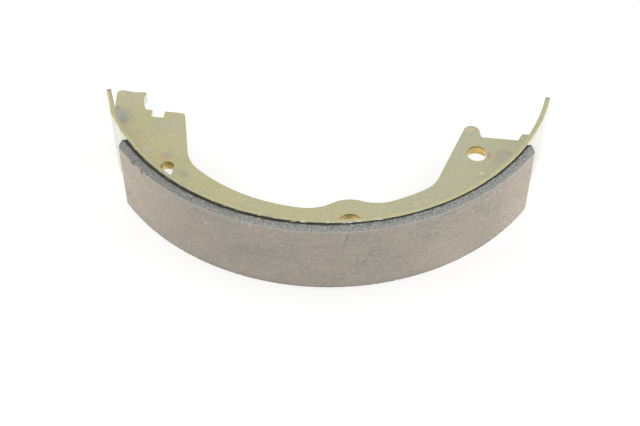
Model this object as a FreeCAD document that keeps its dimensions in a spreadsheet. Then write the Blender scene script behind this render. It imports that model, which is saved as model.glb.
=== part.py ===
import FreeCAD, Part
import math
import os
import Sketcher

# A drum-brake shoe lying with its web level: a stamped web welded inside a rolled table,
# and a ground friction lining bonded round the outside of the table.
# The origin is on the drum's axis, halfway across the shoe. +Z runs along that axis and -Y
# passes through the hold-down hole. Angles go round the axis from -Y, positive towards +X.
# Lengths are in millimetres and angles in degrees.

SHEET = "Sizes"

# The radial stack, from the drum inwards, and the arcs that the rolled pieces cover
SHOE_SIZES = {
    "drum_radius": 92.5,
    "shoe_width": 30.0,
    "lining_thick": 3.8,
    "bond_thick": 0.5,
    "table_thick": 1.9,
    "web_thick": 4.0,
    "web_depth": 17.1,
    "lining_left_angle": -64.5,
    "lining_right_angle": 50.9,
    "lead_bevel": 2.8,
    "bond_recess": 0.4,
    "table_left_angle": -84.0,
    "table_right_angle": 69.4,
    "table_corner": 1.2,
    "table_edge": 0.3,
    "web_edge": 0.3,
}

# The left end of the web, in its own axes: zero is where the notch's floor, produced,
# meets the table, X runs along that floor and Y away from it
LEVER_END_SIZES = {
    "lever_turn": -84.2,
    "lever_tilt": -14.45,
    "lever_foot_angle": -47.3,
    "finger_lean": -2.0,
    "finger_height": 13.2,
    "finger_flat": 1.8,
    "beak_reach": 10.36,
    "beak_rise": 0.55,
    "beak_sweep": 18.0,
    "beak_face": 2.4,
    "beak_under": 0.35,
    "beak_slope": 0.8,
    "hollow_radius": 15.0,
    "finger_foot": 12.21,
    "seat_height": 3.68,
    "notch_start": 15.16,
    "notch_width": 4.85,
    "notch_draft": 0.25,
    "tab_width": 8.25,
    "lever_blend": 16.0,
}

# The right end of the web, in axes laid out the same way along the floor of its slot
ADJUSTER_END_SIZES = {
    "adjuster_turn": 61.16,
    "adjuster_tilt": -13.05,
    "adjuster_foot_angle": 20.1,
    "nub_height": 3.74,
    "nub_top": 4.85,
    "nub_base": 6.36,
    "slot_width": 14.0,
    "prong_offset": 3.96,
    "prong_height": 2.66,
    "prong_radius": 3.2,
    "adjuster_blend": 12.0,
}

# Holes, the swelling of the web round the hold-down hole, and corner radii
DETAIL_SIZES = {
    "hold_down_radius": 4.5,
    "hold_down_inset": 9.6,
    "boss_radius": 13.0,
    "boss_inset": 8.6,
    "boss_blend": 17.0,
    "lever_hole_radius": 2.5,
    "lever_hole_length": 8.2,
    "lever_hole_setback": 0.2,
    "lever_hole_drop": 26.18,
    "spring_hole_radius": 3.9,
    "spring_hole_setback": 1.34,
    "spring_hole_drop": 9.42,
    "broad_corner": 2.1,
    "beak_corner": 1.1,
    "slight_corner": 0.7,
    "inside_corner": 0.5,
}

# Places that follow from the sizes above
DERIVED = {
    "lining_inner": "drum_radius - lining_thick",
    "table_outer": "lining_inner - bond_thick",
    "table_inner": "table_outer - table_thick",
    "web_inner": "table_inner - web_depth",
    "web_middle": "table_inner - web_depth / 2",
    "bond_left_angle": "lining_left_angle + bond_recess / lining_inner * 180 / pi",
    "bond_right_angle": "lining_right_angle - bond_recess / lining_inner * 180 / pi",
    "bond_width": "shoe_width - 2 * bond_recess",
    "web_left_angle": "(lever_turn + lever_foot_angle) / 2",
    "web_right_angle": "(adjuster_turn + adjuster_foot_angle) / 2",
    "hold_down_y": "hold_down_inset - table_inner",
    "boss_y": "boss_inset - table_inner",
    "lever_x": "table_inner * sin(lever_turn)",
    "lever_y": "-table_inner * cos(lever_turn)",
    "lever_axis_x": "-table_inner * sin(lever_turn - lever_tilt)",
    "lever_axis_y": "table_inner * cos(lever_turn - lever_tilt)",
    "lever_foot_x": "lever_axis_x + web_middle * sin(lever_foot_angle - lever_tilt)",
    "lever_foot_y": "lever_axis_y - web_middle * cos(lever_foot_angle - lever_tilt)",
    "lever_rim_x": "lever_axis_x + table_inner * sin(lever_foot_angle - lever_tilt)",
    "lever_rim_y": "lever_axis_y - table_inner * cos(lever_foot_angle - lever_tilt)",
    "beak_top": "finger_height + beak_rise",
    "beak_chin": "beak_top - beak_face",
    "beak_neck": "beak_chin - beak_slope",
    "beak_back": "beak_reach - beak_under",
    "notch_end": "notch_start + notch_width",
    "tab_start": "notch_end - notch_draft",
    "tab_end": "tab_start + tab_width",
    "lever_hole_x": "tab_end - lever_hole_setback",
    "lever_hole_top": "-lever_hole_drop",
    "lever_hole_low": "lever_hole_top - lever_hole_length + 2 * lever_hole_radius",
    "adjuster_x": "table_inner * sin(adjuster_turn)",
    "adjuster_y": "-table_inner * cos(adjuster_turn)",
    "adjuster_axis_x": "-table_inner * sin(adjuster_turn - adjuster_tilt)",
    "adjuster_axis_y": "table_inner * cos(adjuster_turn - adjuster_tilt)",
    "adjuster_foot_x": "adjuster_axis_x + web_middle * sin(adjuster_foot_angle - adjuster_tilt)",
    "adjuster_foot_y": "adjuster_axis_y - web_middle * cos(adjuster_foot_angle - adjuster_tilt)",
    "adjuster_rim_x": "adjuster_axis_x + table_inner * sin(adjuster_foot_angle - adjuster_tilt)",
    "adjuster_rim_y": "adjuster_axis_y - table_inner * cos(adjuster_foot_angle - adjuster_tilt)",
    "nub_rim_x": "adjuster_axis_x + sqrt(table_inner^2 - (nub_height - adjuster_axis_y)^2)",
    "nub_top_x": "-nub_top",
    "slot_near": "-nub_base",
    "slot_far": "slot_near - slot_width",
    "prong_x": "slot_far - prong_offset",
    "spring_hole_x": "slot_far - spring_hole_setback",
    "spring_hole_y": "-spring_hole_drop",
}

ON_AXIS = None
TINY = 1e-4
DOC = FreeCAD.newDocument("brake_shoe")


def fill_sheet():
    """Write the driving sizes and the derived places into the sheet, each with its alias."""
    sheet = DOC.addObject("Spreadsheet::Sheet", SHEET)
    driving = {**SHOE_SIZES, **LEVER_END_SIZES, **ADJUSTER_END_SIZES, **DETAIL_SIZES}
    rows = [(word, str(value)) for word, value in driving.items()]
    rows += [(word, "=" + formula) for word, formula in DERIVED.items()]
    for row, (word, content) in enumerate(rows, start=1):
        sheet.set(f"A{row}", word)
        sheet.set(f"B{row}", content)
        sheet.setAlias(f"B{row}", word)
    DOC.recompute()
    return sheet


SIZES = fill_sheet()


def size(word):
    """The present value of one cell of the sheet."""
    return float(getattr(SIZES, word))


def settle(feature):
    """Compute the document and stop if this feature failed."""
    DOC.recompute()
    if "Invalid" in feature.State or "Error" in feature.State or feature.Shape.isNull():
        raise ValueError(f"{feature.Name} has failed: {feature.State}")
    return feature


def bind(thing, prop, word):
    """Tie a property of an object to a cell, or to a formula in the sheet's words."""
    thing.setExpression(prop, f"{SHEET}.{word}")


def new_body(label):
    """An empty body whose Label is the name of the piece."""
    body = DOC.addObject("PartDesign::Body", label)
    body.Label = label
    return body


def new_sketch(body, name, role):
    """A sketch on one of the body's own origin planes."""
    planes = [plane for plane in body.Origin.OriginFeatures if plane.Role == role]
    sketch = body.newObject("Sketcher::SketchObject", name)
    sketch.AttachmentSupport = (planes[0], [""])
    sketch.MapMode = "FlatFace"
    return sketch


def hold(sketch, kind, *parts, word=None):
    """Add one constraint, and tie its value to a cell where it has one."""
    if word is None:
        return sketch.addConstraint(Sketcher.Constraint(kind, *parts))
    index = sketch.addConstraint(Sketcher.Constraint(kind, *parts, size(word)))
    bind(sketch, f"Constraints[{index}]", word)
    return index


def place_point(sketch, geometry, end, across, up):
    """Hold a point at two cells, or on the sketch's own axis where a cell isn't named."""
    if across is ON_AXIS and up is ON_AXIS:
        hold(sketch, "Coincident", geometry, end, -1, 1)
        return
    if across is ON_AXIS:
        hold(sketch, "PointOnObject", geometry, end, -2)
    else:
        hold(sketch, "DistanceX", -1, 1, geometry, end, word=across)
    if up is ON_AXIS:
        hold(sketch, "PointOnObject", geometry, end, -1)
    else:
        hold(sketch, "DistanceY", -1, 1, geometry, end, word=up)


def value_or_zero(word):
    return 0.0 if word is ON_AXIS else size(word)


def corner_point(step):
    return FreeCAD.Vector(value_or_zero(step["x"]), value_or_zero(step["y"]), 0)


def tangent_point(outside, centre, radius, side):
    """Where a line from a point touches a circle, on the left (1) or right (-1) of it."""
    reach = outside - centre
    turn = side * math.acos(radius / reach.Length)
    spoke = FreeCAD.Rotation(FreeCAD.Vector(0, 0, 1), math.degrees(turn)).multVec(reach)
    spoke.normalize()
    return centre + spoke * radius


def arc_through(start, finish, radius, side):
    """A short arc between two points that bulges to the left (1) or right (-1) of travel."""
    chord = finish - start
    rise = radius - math.sqrt(radius**2 - chord.Length**2 / 4)
    left = FreeCAD.Vector(-chord.y, chord.x, 0).normalize()
    middle = start + chord * 0.5 + left * rise * side
    return Part.Arc(start, middle, finish)


def corner(x, y):
    """A corner of an outline, held at two cells."""
    return {"kind": "corner", "x": x, "y": y}


def bend(radius, side):
    """Makes the edge to the next corner an arc of the radius in a cell."""
    return {"kind": "bend", "radius": radius, "side": side}


def nose(x, y, radius):
    """A round end about a centre, tangent to the straight edges on both sides of it."""
    return {"kind": "nose", "x": x, "y": y, "radius": radius}


def nearer_end(sketch, geometry, point):
    gaps = [(sketch.getPoint(geometry, end) - point).Length for end in (1, 2)]
    return 1 if gaps[0] <= gaps[1] else 2


def add_edge(sketch, edges, curve, start, finish, **facts):
    """Add one edge of an outline and remember which of its ends is which."""
    geometry = sketch.addGeometry(curve, False)
    edge = {"id": geometry, "start": nearer_end(sketch, geometry, start)}
    edge["finish"] = 3 - edge["start"]
    edge.update(facts)
    edges.append(edge)


def add_nose(sketch, edges, before, step, after):
    """The line into a round end, the end itself and the line out of it."""
    centre = corner_point(step)
    radius = size(step["radius"])
    touch_in = tangent_point(corner_point(before), centre, radius, 1)
    touch_out = tangent_point(corner_point(after), centre, radius, -1)
    outward = (centre - (corner_point(before) + corner_point(after)) * 0.5).normalize()
    crown = centre + outward * radius
    first = corner_point(before)
    last = corner_point(after)
    add_edge(sketch, edges, Part.LineSegment(first, touch_in), first, touch_in, corner=before)
    add_edge(sketch, edges, Part.Arc(touch_in, crown, touch_out), touch_in, touch_out, nose=step)
    add_edge(sketch, edges, Part.LineSegment(touch_out, last), touch_out, last, tangent=True)


def draw_outline(sketch, steps):
    """Draw a closed outline step by step, with every corner and radius held by a cell."""
    edges = []
    position = 0
    while position < len(steps):
        here = steps[position]
        follower = steps[(position + 1) % len(steps)]
        last = steps[(position + 2) % len(steps)]
        start = corner_point(here)
        if follower["kind"] == "corner":
            finish = corner_point(follower)
            add_edge(sketch, edges, Part.LineSegment(start, finish), start, finish, corner=here)
            position += 1
        elif follower["kind"] == "bend":
            finish = corner_point(last)
            curve = arc_through(start, finish, size(follower["radius"]), follower["side"])
            add_edge(sketch, edges, curve, start, finish, corner=here, bend=follower)
            position += 2
        else:
            add_nose(sketch, edges, here, follower, last)
            position += 2
    for edge, following in zip(edges, edges[1:] + edges[:1]):
        smooth = "nose" in following or "tangent" in following
        joint = "Tangent" if smooth else "Coincident"
        hold(sketch, joint, edge["id"], edge["finish"], following["id"], following["start"])
    for edge in edges:
        hold_edge(sketch, edge)


def hold_edge(sketch, edge):
    """The constraints that belong to one edge of an outline."""
    if "corner" in edge:
        place_point(sketch, edge["id"], edge["start"], edge["corner"]["x"], edge["corner"]["y"])
    if "bend" in edge:
        hold(sketch, "Radius", edge["id"], word=edge["bend"]["radius"])
    if "nose" in edge:
        place_point(sketch, edge["id"], 3, edge["nose"]["x"], edge["nose"]["y"])
        hold(sketch, "Radius", edge["id"], word=edge["nose"]["radius"])


def swept_ring(body, name, inner, outer, width, sweep):
    """A rectangle between two radii, swept round the drum's axis from one angle to another."""
    start, finish = sweep
    sketch = new_sketch(body, name + "_section", "XZ_Plane")
    sketch.AttachmentOffset = FreeCAD.Placement(
        FreeCAD.Vector(), FreeCAD.Rotation(FreeCAD.Vector(0, 1, 0), size(start) - 90))
    sketch.setExpression("AttachmentOffset.Rotation.Angle", f"{SHEET}.{start} - 90")
    half = size(width) / 2
    low_in = FreeCAD.Vector(size(inner), -half, 0)
    low_out = FreeCAD.Vector(size(outer), -half, 0)
    high_out = FreeCAD.Vector(size(outer), half, 0)
    high_in = FreeCAD.Vector(size(inner), half, 0)
    loop = [low_in, low_out, high_out, high_in]
    for first, second in zip(loop, loop[1:] + loop[:1]):
        sketch.addGeometry(Part.LineSegment(first, second), False)
    for side in range(4):
        hold(sketch, "Coincident", side, 2, (side + 1) % 4, 1)
    hold(sketch, "Horizontal", 0)
    hold(sketch, "Horizontal", 2)
    hold(sketch, "Vertical", 3)
    hold(sketch, "DistanceX", -1, 1, 0, 1, word=inner)
    hold(sketch, "DistanceX", -1, 1, 0, 2, word=outer)
    hold(sketch, "DistanceY", 1, 1, 1, 2, word=width)
    hold(sketch, "Symmetric", 1, 1, 1, 2, -1)
    ring = body.newObject("PartDesign::Revolution", name)
    ring.Profile = sketch
    ring.ReferenceAxis = (sketch, ["V_Axis"])
    ring.Angle = size(finish) - size(start)
    ring.setExpression("Angle", f"{SHEET}.{finish} - {SHEET}.{start}")
    return settle(ring)


def level_sketch(body, name, across=None, up=None, tilt=None):
    """A sketch halfway across the shoe, moved and turned to an end's own axes if asked."""
    sketch = new_sketch(body, name, "XY_Plane")
    if across is None:
        return sketch
    spot = FreeCAD.Vector(size(across), size(up), 0)
    turn = FreeCAD.Rotation(FreeCAD.Vector(0, 0, 1), size(tilt))
    sketch.AttachmentOffset = FreeCAD.Placement(spot, turn)
    bind(sketch, "AttachmentOffset.Base.x", across)
    bind(sketch, "AttachmentOffset.Base.y", up)
    bind(sketch, "AttachmentOffset.Rotation.Angle", tilt)
    return sketch


def plate_pad(body, name, sketch):
    """Thicken an outline by the web's thickness, half each way."""
    pad = body.newObject("PartDesign::Pad", name)
    pad.Profile = sketch
    pad.Midplane = True
    pad.Length = size("web_thick")
    bind(pad, "Length", "web_thick")
    return settle(pad)


def cut_through(body, name, sketch, area):
    """Cut an outline of a known area right through the web."""
    before = body.Shape.Volume
    hole = body.newObject("PartDesign::Pocket", name)
    hole.Profile = sketch
    hole.Midplane = True
    hole.Length = 2 * size("web_thick")
    hole.setExpression("Length", f"2 * {SHEET}.web_thick")
    settle(hole)
    removed = before - body.Shape.Volume
    expected = area * size("web_thick")
    if abs(removed - expected) > 0.02 * expected:
        raise ValueError(f"{name} removed {removed:.2f}, expected {expected:.2f}")
    return hole


def drill(body, name, centre, radius, frame=()):
    """One round hole right through the web."""
    sketch = level_sketch(body, name + "_centre", *frame)
    spot = FreeCAD.Vector(value_or_zero(centre[0]), value_or_zero(centre[1]), 0)
    circle = Part.Circle(spot, FreeCAD.Vector(0, 0, 1), size(radius))
    geometry = sketch.addGeometry(circle, False)
    place_point(sketch, geometry, 3, *centre)
    hold(sketch, "Radius", geometry, word=radius)
    return cut_through(body, name, sketch, math.pi * size(radius)**2)


def oblong_hole(body, name, across, top, low, radius, frame):
    """A round-ended hole through the web, along its frame's Y between two end centres."""
    sketch = level_sketch(body, name + "_outline", *frame)
    upper = FreeCAD.Vector(size(across), size(top), 0)
    lower = FreeCAD.Vector(size(across), size(low), 0)
    reach = size(radius)
    side = FreeCAD.Vector(reach, 0, 0)
    crown = FreeCAD.Vector(0, reach, 0)
    sketch.addGeometry(Part.Arc(upper + side, upper + crown, upper - side), False)
    sketch.addGeometry(Part.LineSegment(upper - side, lower - side), False)
    sketch.addGeometry(Part.Arc(lower - side, lower - crown, lower + side), False)
    sketch.addGeometry(Part.LineSegment(lower + side, upper + side), False)
    for part in range(4):
        hold(sketch, "Tangent", part, 2, (part + 1) % 4, 1)
    hold(sketch, "Vertical", 1)
    place_point(sketch, 0, 3, across, top)
    place_point(sketch, 2, 3, across, low)
    hold(sketch, "Radius", 0, word=radius)
    area = math.pi * reach**2 + 2 * reach * (size(top) - size(low))
    return cut_through(body, name, sketch, area)


def edge_names(feature, wanted):
    """The names of the edges that a test picks."""
    edges = enumerate(feature.Shape.Edges, start=1)
    return [f"Edge{number}" for number, edge in edges if wanted(edge)]


def level_height(edge):
    """How far an edge lies from the middle of the shoe, or None if it isn't level."""
    first, last = edge.ParameterRange
    heights = [edge.valueAt(first + (last - first) * share).z for share in (0, 0.5, 1)]
    return abs(heights[0]) if max(heights) - min(heights) < TINY else None


def on_face(edge, height):
    """Whether an edge lies wholly in a flat face at this distance from the middle."""
    level = level_height(edge)
    return level is not None and abs(level - height) < TINY


def middle_radius(edge):
    """How far the middle of an edge lies from the drum's axis."""
    first, last = edge.ParameterRange
    middle = edge.valueAt((first + last) / 2)
    return math.hypot(middle.x, middle.y)


def upright_edges(feature, spots):
    """The edge parallel to the drum's axis that lies nearest to each spot."""
    names = []
    for spot in spots:
        gaps = []
        for number, edge in enumerate(feature.Shape.Edges, start=1):
            ends = [vertex.Point for vertex in edge.Vertexes]
            if len(ends) == 2 and math.hypot(ends[0].x - ends[1].x, ends[0].y - ends[1].y) < TINY:
                gaps.append((math.hypot(ends[0].x - spot.x, ends[0].y - spot.y), number))
        names.append(f"Edge{min(gaps)[1]}")
    return names


def round_edges(body, name, feature, edges, radius):
    """Round chosen edges of a feature by the radius in a cell."""
    fillet = body.newObject("PartDesign::Fillet", name)
    fillet.Base = (feature, edges)
    fillet.Radius = size(radius)
    bind(fillet, "Radius", radius)
    return settle(fillet)


def bevel_edges(body, name, feature, edges, width):
    """Bevel chosen edges of a feature by the width in a cell."""
    bevel = body.newObject("PartDesign::Chamfer", name)
    bevel.Base = (feature, edges)
    bevel.Size = size(width)
    bind(bevel, "Size", width)
    return settle(bevel)


def on_circle(radius, angle):
    """The point at a radius and an angle round the drum's axis."""
    turn = math.radians(angle)
    return FreeCAD.Vector(radius * math.sin(turn), -radius * math.cos(turn), 0)


def crossing(first, second, radius):
    """Where the line through two points crosses a circle about the axis, between them."""
    step = (second - first).normalize()
    along = first.dot(step)
    run = -along + math.sqrt(along**2 - first.dot(first) + radius**2)
    return first + step * run


def lever_outline():
    """The left end: a tall finger with a beak, a seat with a notch in it, and a tab."""
    return [
        corner(ON_AXIS, ON_AXIS),
        corner("finger_lean", "finger_height"),
        corner("finger_flat", "finger_height"),
        bend("beak_sweep", -1),
        corner("beak_reach", "beak_top"),
        corner("beak_reach", "beak_chin"),
        corner("beak_back", "beak_neck"),
        bend("hollow_radius", -1),
        corner("finger_foot", "seat_height"),
        corner("notch_start", "seat_height"),
        corner("notch_start", ON_AXIS),
        corner("notch_end", ON_AXIS),
        corner("tab_start", "seat_height"),
        corner("tab_end", "seat_height"),
        corner("lever_foot_x", "lever_foot_y"),
        corner("lever_rim_x", "lever_rim_y"),
        bend("table_inner", 1),
    ]


def adjuster_outline():
    """The right end: a nub beside the table, a wide slot and a round-ended prong."""
    return [
        corner("nub_rim_x", "nub_height"),
        corner("nub_top_x", "nub_height"),
        corner("slot_near", ON_AXIS),
        corner("slot_far", ON_AXIS),
        nose("prong_x", "prong_height", "prong_radius"),
        corner("adjuster_foot_x", "adjuster_foot_y"),
        corner("adjuster_rim_x", "adjuster_rim_y"),
        bend("table_inner", -1),
    ]


def add_boss(body):
    """The half-round swelling of the web on the inner side of the hold-down hole."""
    sketch = level_sketch(body, "boss_outline")
    centre = FreeCAD.Vector(0, size("boss_y"), 0)
    reach = FreeCAD.Vector(size("boss_radius"), 0, 0)
    crown = centre + FreeCAD.Vector(0, size("boss_radius"), 0)
    sketch.addGeometry(Part.Arc(centre + reach, crown, centre - reach), False)
    sketch.addGeometry(Part.LineSegment(centre - reach, centre + reach), False)
    hold(sketch, "Coincident", 0, 2, 1, 1)
    hold(sketch, "Coincident", 0, 1, 1, 2)
    hold(sketch, "Horizontal", 1)
    hold(sketch, "PointOnObject", 0, 3, 1)
    place_point(sketch, 0, 3, ON_AXIS, "boss_y")
    hold(sketch, "Radius", 0, word="boss_radius")
    return plate_pad(body, "boss", sketch)


def boss_shoulders():
    """Where the boss's circle meets the inner edge of the web, on its two sides."""
    middle = abs(size("boss_y"))
    inner = size("web_inner")
    boss = size("boss_radius")
    down = (middle**2 + inner**2 - boss**2) / (2 * middle)
    across = math.sqrt(inner**2 - down**2)
    return [FreeCAD.Vector(-across, -down, 0), FreeCAD.Vector(across, -down, 0)]


def spots_on(sketch, outline, numbers):
    """The places of some corners of an outline, in the shoe's own axes."""
    return [sketch.Placement.multVec(corner_point(outline[number])) for number in numbers]


def make_web():
    """The stamped plate: an arc with a boss, a lever end, an adjuster end and three holes."""
    body = new_body("shoe_web")
    web_arc = ("web_left_angle", "web_right_angle")
    swept_ring(body, "web_arc", "web_inner", "table_inner", "web_thick", web_arc)
    lever_frame = ("lever_x", "lever_y", "lever_tilt")
    adjuster_frame = ("adjuster_x", "adjuster_y", "adjuster_tilt")
    lever = level_sketch(body, "lever_end_outline", *lever_frame)
    draw_outline(lever, lever_outline())
    plate_pad(body, "lever_end", lever)
    adjuster = level_sketch(body, "adjuster_end_outline", *adjuster_frame)
    draw_outline(adjuster, adjuster_outline())
    plate_pad(body, "adjuster_end", adjuster)
    feature = add_boss(body)

    tab, lever_foot = spots_on(lever, lever_outline(), (13, 14))
    prong, adjuster_foot = spots_on(adjuster, adjuster_outline(), (4, 5))
    outward = (adjuster_foot - prong).cross(FreeCAD.Vector(0, 0, 1)).normalize()
    prong_side = prong - outward * size("prong_radius")
    lever_side = [crossing(tab, lever_foot, size("web_inner"))]
    adjuster_side = [crossing(prong_side, adjuster_foot, size("web_inner"))]
    blends = [
        ("lever_side_blend", lever_side, "lever_blend"),
        ("adjuster_side_blend", adjuster_side, "adjuster_blend"),
        ("boss_blends", boss_shoulders(), "boss_blend"),
        ("broad_corners", spots_on(lever, lever_outline(), (1, 13)), "broad_corner"),
        ("beak_corners", spots_on(lever, lever_outline(), (4,)), "beak_corner"),
        ("nub_corner", spots_on(adjuster, adjuster_outline(), (1,)), "beak_corner"),
        ("slight_corners", spots_on(lever, lever_outline(), (9, 12)), "slight_corner"),
        ("lever_inside", spots_on(lever, lever_outline(), (8, 10)), "inside_corner"),
        ("adjuster_inside", spots_on(adjuster, adjuster_outline(), (2, 3)), "inside_corner"),
    ]
    for name, spots, radius in blends:
        feature = round_edges(body, name, feature, upright_edges(feature, spots), radius)

    drill(body, "hold_down_hole", (ON_AXIS, "hold_down_y"), "hold_down_radius")
    hole_ends = ("lever_hole_x", "lever_hole_top", "lever_hole_low")
    oblong_hole(body, "lever_hole", *hole_ends, "lever_hole_radius", lever_frame)
    spring_spot = ("spring_hole_x", "spring_hole_y")
    feature = drill(body, "spring_hole", spring_spot, "spring_hole_radius", adjuster_frame)
    face = size("web_thick") / 2
    weld = size("table_inner") - TINY
    free = edge_names(feature, lambda edge: on_face(edge, face) and middle_radius(edge) < weld)
    bevel_edges(body, "stamped_edges", feature, free, "web_edge")
    return body


def make_table():
    """The rolled strip that the web stands in and the lining is bonded to."""
    body = new_body("shoe_table")
    table_arc = ("table_left_angle", "table_right_angle")
    ring = swept_ring(body, "table_strip", "table_inner", "table_outer", "shoe_width", table_arc)
    side = size("shoe_width") / 2
    tips = edge_names(ring, lambda edge: on_face(edge, side) and edge.Curve.TypeId == "Part::GeomLine")
    rounded = round_edges(body, "tip_corners", ring, tips, "table_corner")
    rims = edge_names(rounded, lambda edge: on_face(edge, side) and edge.Curve.TypeId != "Part::GeomLine")
    bevel_edges(body, "edge_bevels", rounded, rims, "table_edge")
    return body


def make_bond():
    """The thin film between table and lining, set back a little from their edges."""
    body = new_body("bond_layer")
    bond_arc = ("bond_left_angle", "bond_right_angle")
    swept_ring(body, "bond_film", "table_outer", "lining_inner", "bond_width", bond_arc)
    return body


def make_lining():
    """The friction lining, ground to the drum and bevelled at both ends."""
    body = new_body("friction_lining")
    lining_arc = ("lining_left_angle", "lining_right_angle")
    arc = swept_ring(body, "lining_arc", "lining_inner", "drum_radius", "shoe_width", lining_arc)
    ends = [on_circle(size("drum_radius"), size(word)) for word in lining_arc]
    bevel_edges(body, "lead_bevels", arc, upright_edges(arc, ends), "lead_bevel")
    return body


def check_document():
    """Stop if any object of the document failed to compute."""
    for thing in DOC.Objects:
        if "Invalid" in thing.State or "Error" in thing.State:
            raise ValueError(f"{thing.Name} has failed: {thing.State}")


def export(bodies):
    """Write each piece's solid to its own file, once all of them are sound."""
    for body in bodies:
        shape = body.Shape
        if shape.isNull() or not shape.isValid() or len(shape.Solids) != 1:
            raise ValueError(f"{body.Label} isn't one sound solid")
    os.makedirs("parts", exist_ok=True)
    for body in bodies:
        body.Shape.exportStep(f"parts/{body.Label}.step")
        box = body.Shape.BoundBox
        print(body.Label, f"{body.Shape.Volume:.1f} mm3", box)


PIECES = [make_web(), make_table(), make_bond(), make_lining()]
DOC.recompute()
check_document()
export(PIECES)
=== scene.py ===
import math
import random

import bmesh
import bpy
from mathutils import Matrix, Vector, noise
from mathutils.geometry import delaunay_2d_cdt


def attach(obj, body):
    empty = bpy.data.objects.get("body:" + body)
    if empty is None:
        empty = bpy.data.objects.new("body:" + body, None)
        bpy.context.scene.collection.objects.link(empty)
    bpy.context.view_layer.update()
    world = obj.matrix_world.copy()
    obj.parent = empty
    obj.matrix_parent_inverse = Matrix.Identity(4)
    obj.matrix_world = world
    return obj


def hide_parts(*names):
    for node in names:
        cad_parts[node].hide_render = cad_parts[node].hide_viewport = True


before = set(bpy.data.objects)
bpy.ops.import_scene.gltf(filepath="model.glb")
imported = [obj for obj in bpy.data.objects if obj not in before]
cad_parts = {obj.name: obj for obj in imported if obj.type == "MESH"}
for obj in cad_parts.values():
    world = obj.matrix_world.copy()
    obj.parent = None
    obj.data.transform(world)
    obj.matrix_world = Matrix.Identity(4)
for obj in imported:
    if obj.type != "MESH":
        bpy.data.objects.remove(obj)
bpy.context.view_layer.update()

# Sizes are in millimetres and angles in degrees from straight down (-Y) towards +X.
MM = 0.001
HALF_WIDTH = 15.0
GROUND_RADIUS = 92.5
LINING_THICK = 3.8
LINING_ANGLES = (-64.5, 50.9)
LEAD_BEVEL = 2.8
BOND_THICK = 0.5
BOND_HALF = 14.6
TABLE_INNER = 86.3
TABLE_THICK = 1.9
TABLE_OUTER = TABLE_INNER + TABLE_THICK
TABLE_ANGLES = (-84.0, 69.4)
TIP_CORNER = 1.2
WEB_HALF = 2.0

# The radius at which the patterns' lengths along the arc are measured.
PATTERN_RADIUS = 90.0

# The table's free lever end stands out a little beside the weld, and its tip leans inwards.
TIP_LEAN = 0.5
LEAN_ANGLES = (-75.5, -80.0)
TIP_BULGE = 0.35
BULGE_RISE = (-72.0, -73.8)
BULGE_FALL = (-74.4, -77.0)


def on_shoe(angle, height, radius):
    """A point in metres from its angle, its height and its distance from the drum's axis."""
    turn = math.radians(angle)
    return Vector((radius * math.sin(turn), -radius * math.cos(turn), height)) * MM


def along_at(angle):
    """The patterns' length along the arc at an angle."""
    return math.radians(angle) * PATTERN_RADIUS


def ease(value, start, end):
    """A soft step from 0 at start to 1 at end."""
    share = min(1.0, max(0.0, (value - start) / (end - start)))
    return share * share * (3.0 - 2.0 * share)


def tip_bend(angle):
    """How far inwards the table lies at an angle of its lever end."""
    lean = TIP_LEAN * ease(angle, *LEAN_ANGLES)
    bulge = TIP_BULGE * ease(angle, *BULGE_RISE) * (1.0 - ease(angle, *BULGE_FALL))
    return lean - bulge


def ripple(*place):
    """Even noise between about -1 and 1."""
    return noise.noise(Vector(place))


def cuts(length, step, near):
    """Cutting positions from 0 to length, close together near both ends and a step apart between."""
    inner = near[-1]
    count = max(1, round((length - 2 * inner) / step))
    middle = [inner + (length - 2 * inner) * i / count for i in range(1, count)]
    return list(near) + middle + [length - cut for cut in reversed(near)]


def rounded(point, size, radius):
    """A point of a block's skin, drawn in so that the block's edges get the radius."""
    core = Vector([min(max(p, radius), s - radius) for p, s in zip(point, size)])
    offset = point - core
    # A point that lies on its core has no way outwards, and stays.
    if offset.length < 1e-9:
        return point
    return core + offset.normalized() * radius


def finish_mesh(shape, name, sharp):
    """Turns a closed shape into a piece with smooth faces and sharp edges above an angle."""
    bmesh.ops.recalc_face_normals(shape, faces=shape.faces)
    mesh = bpy.data.meshes.new(name)
    shape.to_mesh(mesh)
    shape.free()
    for face in mesh.polygons:
        face.use_smooth = True
    mesh.set_sharp_from_angle(angle=math.radians(sharp))
    piece = bpy.data.objects.new(name, mesh)
    bpy.context.scene.collection.objects.link(piece)
    return piece


def closed_block(name, lines, place, marks, sharp):
    """A closed piece whose skin follows a block of cells, cut at the positions in lines.

    place turns the position of one corner into its point and the values of the marks there.
    """
    shape = bmesh.new()
    layers = [shape.verts.layers.float.new(mark) for mark in marks]
    last = [len(line) - 1 for line in lines]
    corners = {}

    def corner(cell):
        """The vertex at one corner of a cell."""
        if cell not in corners:
            point, values = place(*[line[i] for line, i in zip(lines, cell)])
            vertex = shape.verts.new(point)
            for layer, value in zip(layers, values):
                vertex[layer] = value
            corners[cell] = vertex
        return corners[cell]

    for fixed in range(3):
        first, second = [axis for axis in range(3) if axis != fixed]
        for end in (0, last[fixed]):
            for i in range(last[first]):
                for j in range(last[second]):
                    ring = []
                    for step_i, step_j in ((0, 0), (1, 0), (1, 1), (0, 1)):
                        cell = [0, 0, 0]
                        cell[fixed] = end
                        cell[first] = i + step_i
                        cell[second] = j + step_j
                        ring.append(corner(tuple(cell)))
                    shape.faces.new(ring)
    return finish_mesh(shape, name, sharp)


# Node trees, for shapes as well as for materials.
VECTOR = "NodeSocketVector"
NUMBER = "NodeSocketFloat"


def add_node(tree, kind, inputs=None, **settings):
    """A node with its settings, each input set to a value or joined to another node's output."""
    node = tree.nodes.new(kind)
    for setting, value in settings.items():
        setattr(node, setting, value)
    for socket, value in (inputs or {}).items():
        if isinstance(value, bpy.types.NodeSocket):
            tree.links.new(value, node.inputs[socket])
        else:
            node.inputs[socket].default_value = value
    return node


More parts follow.
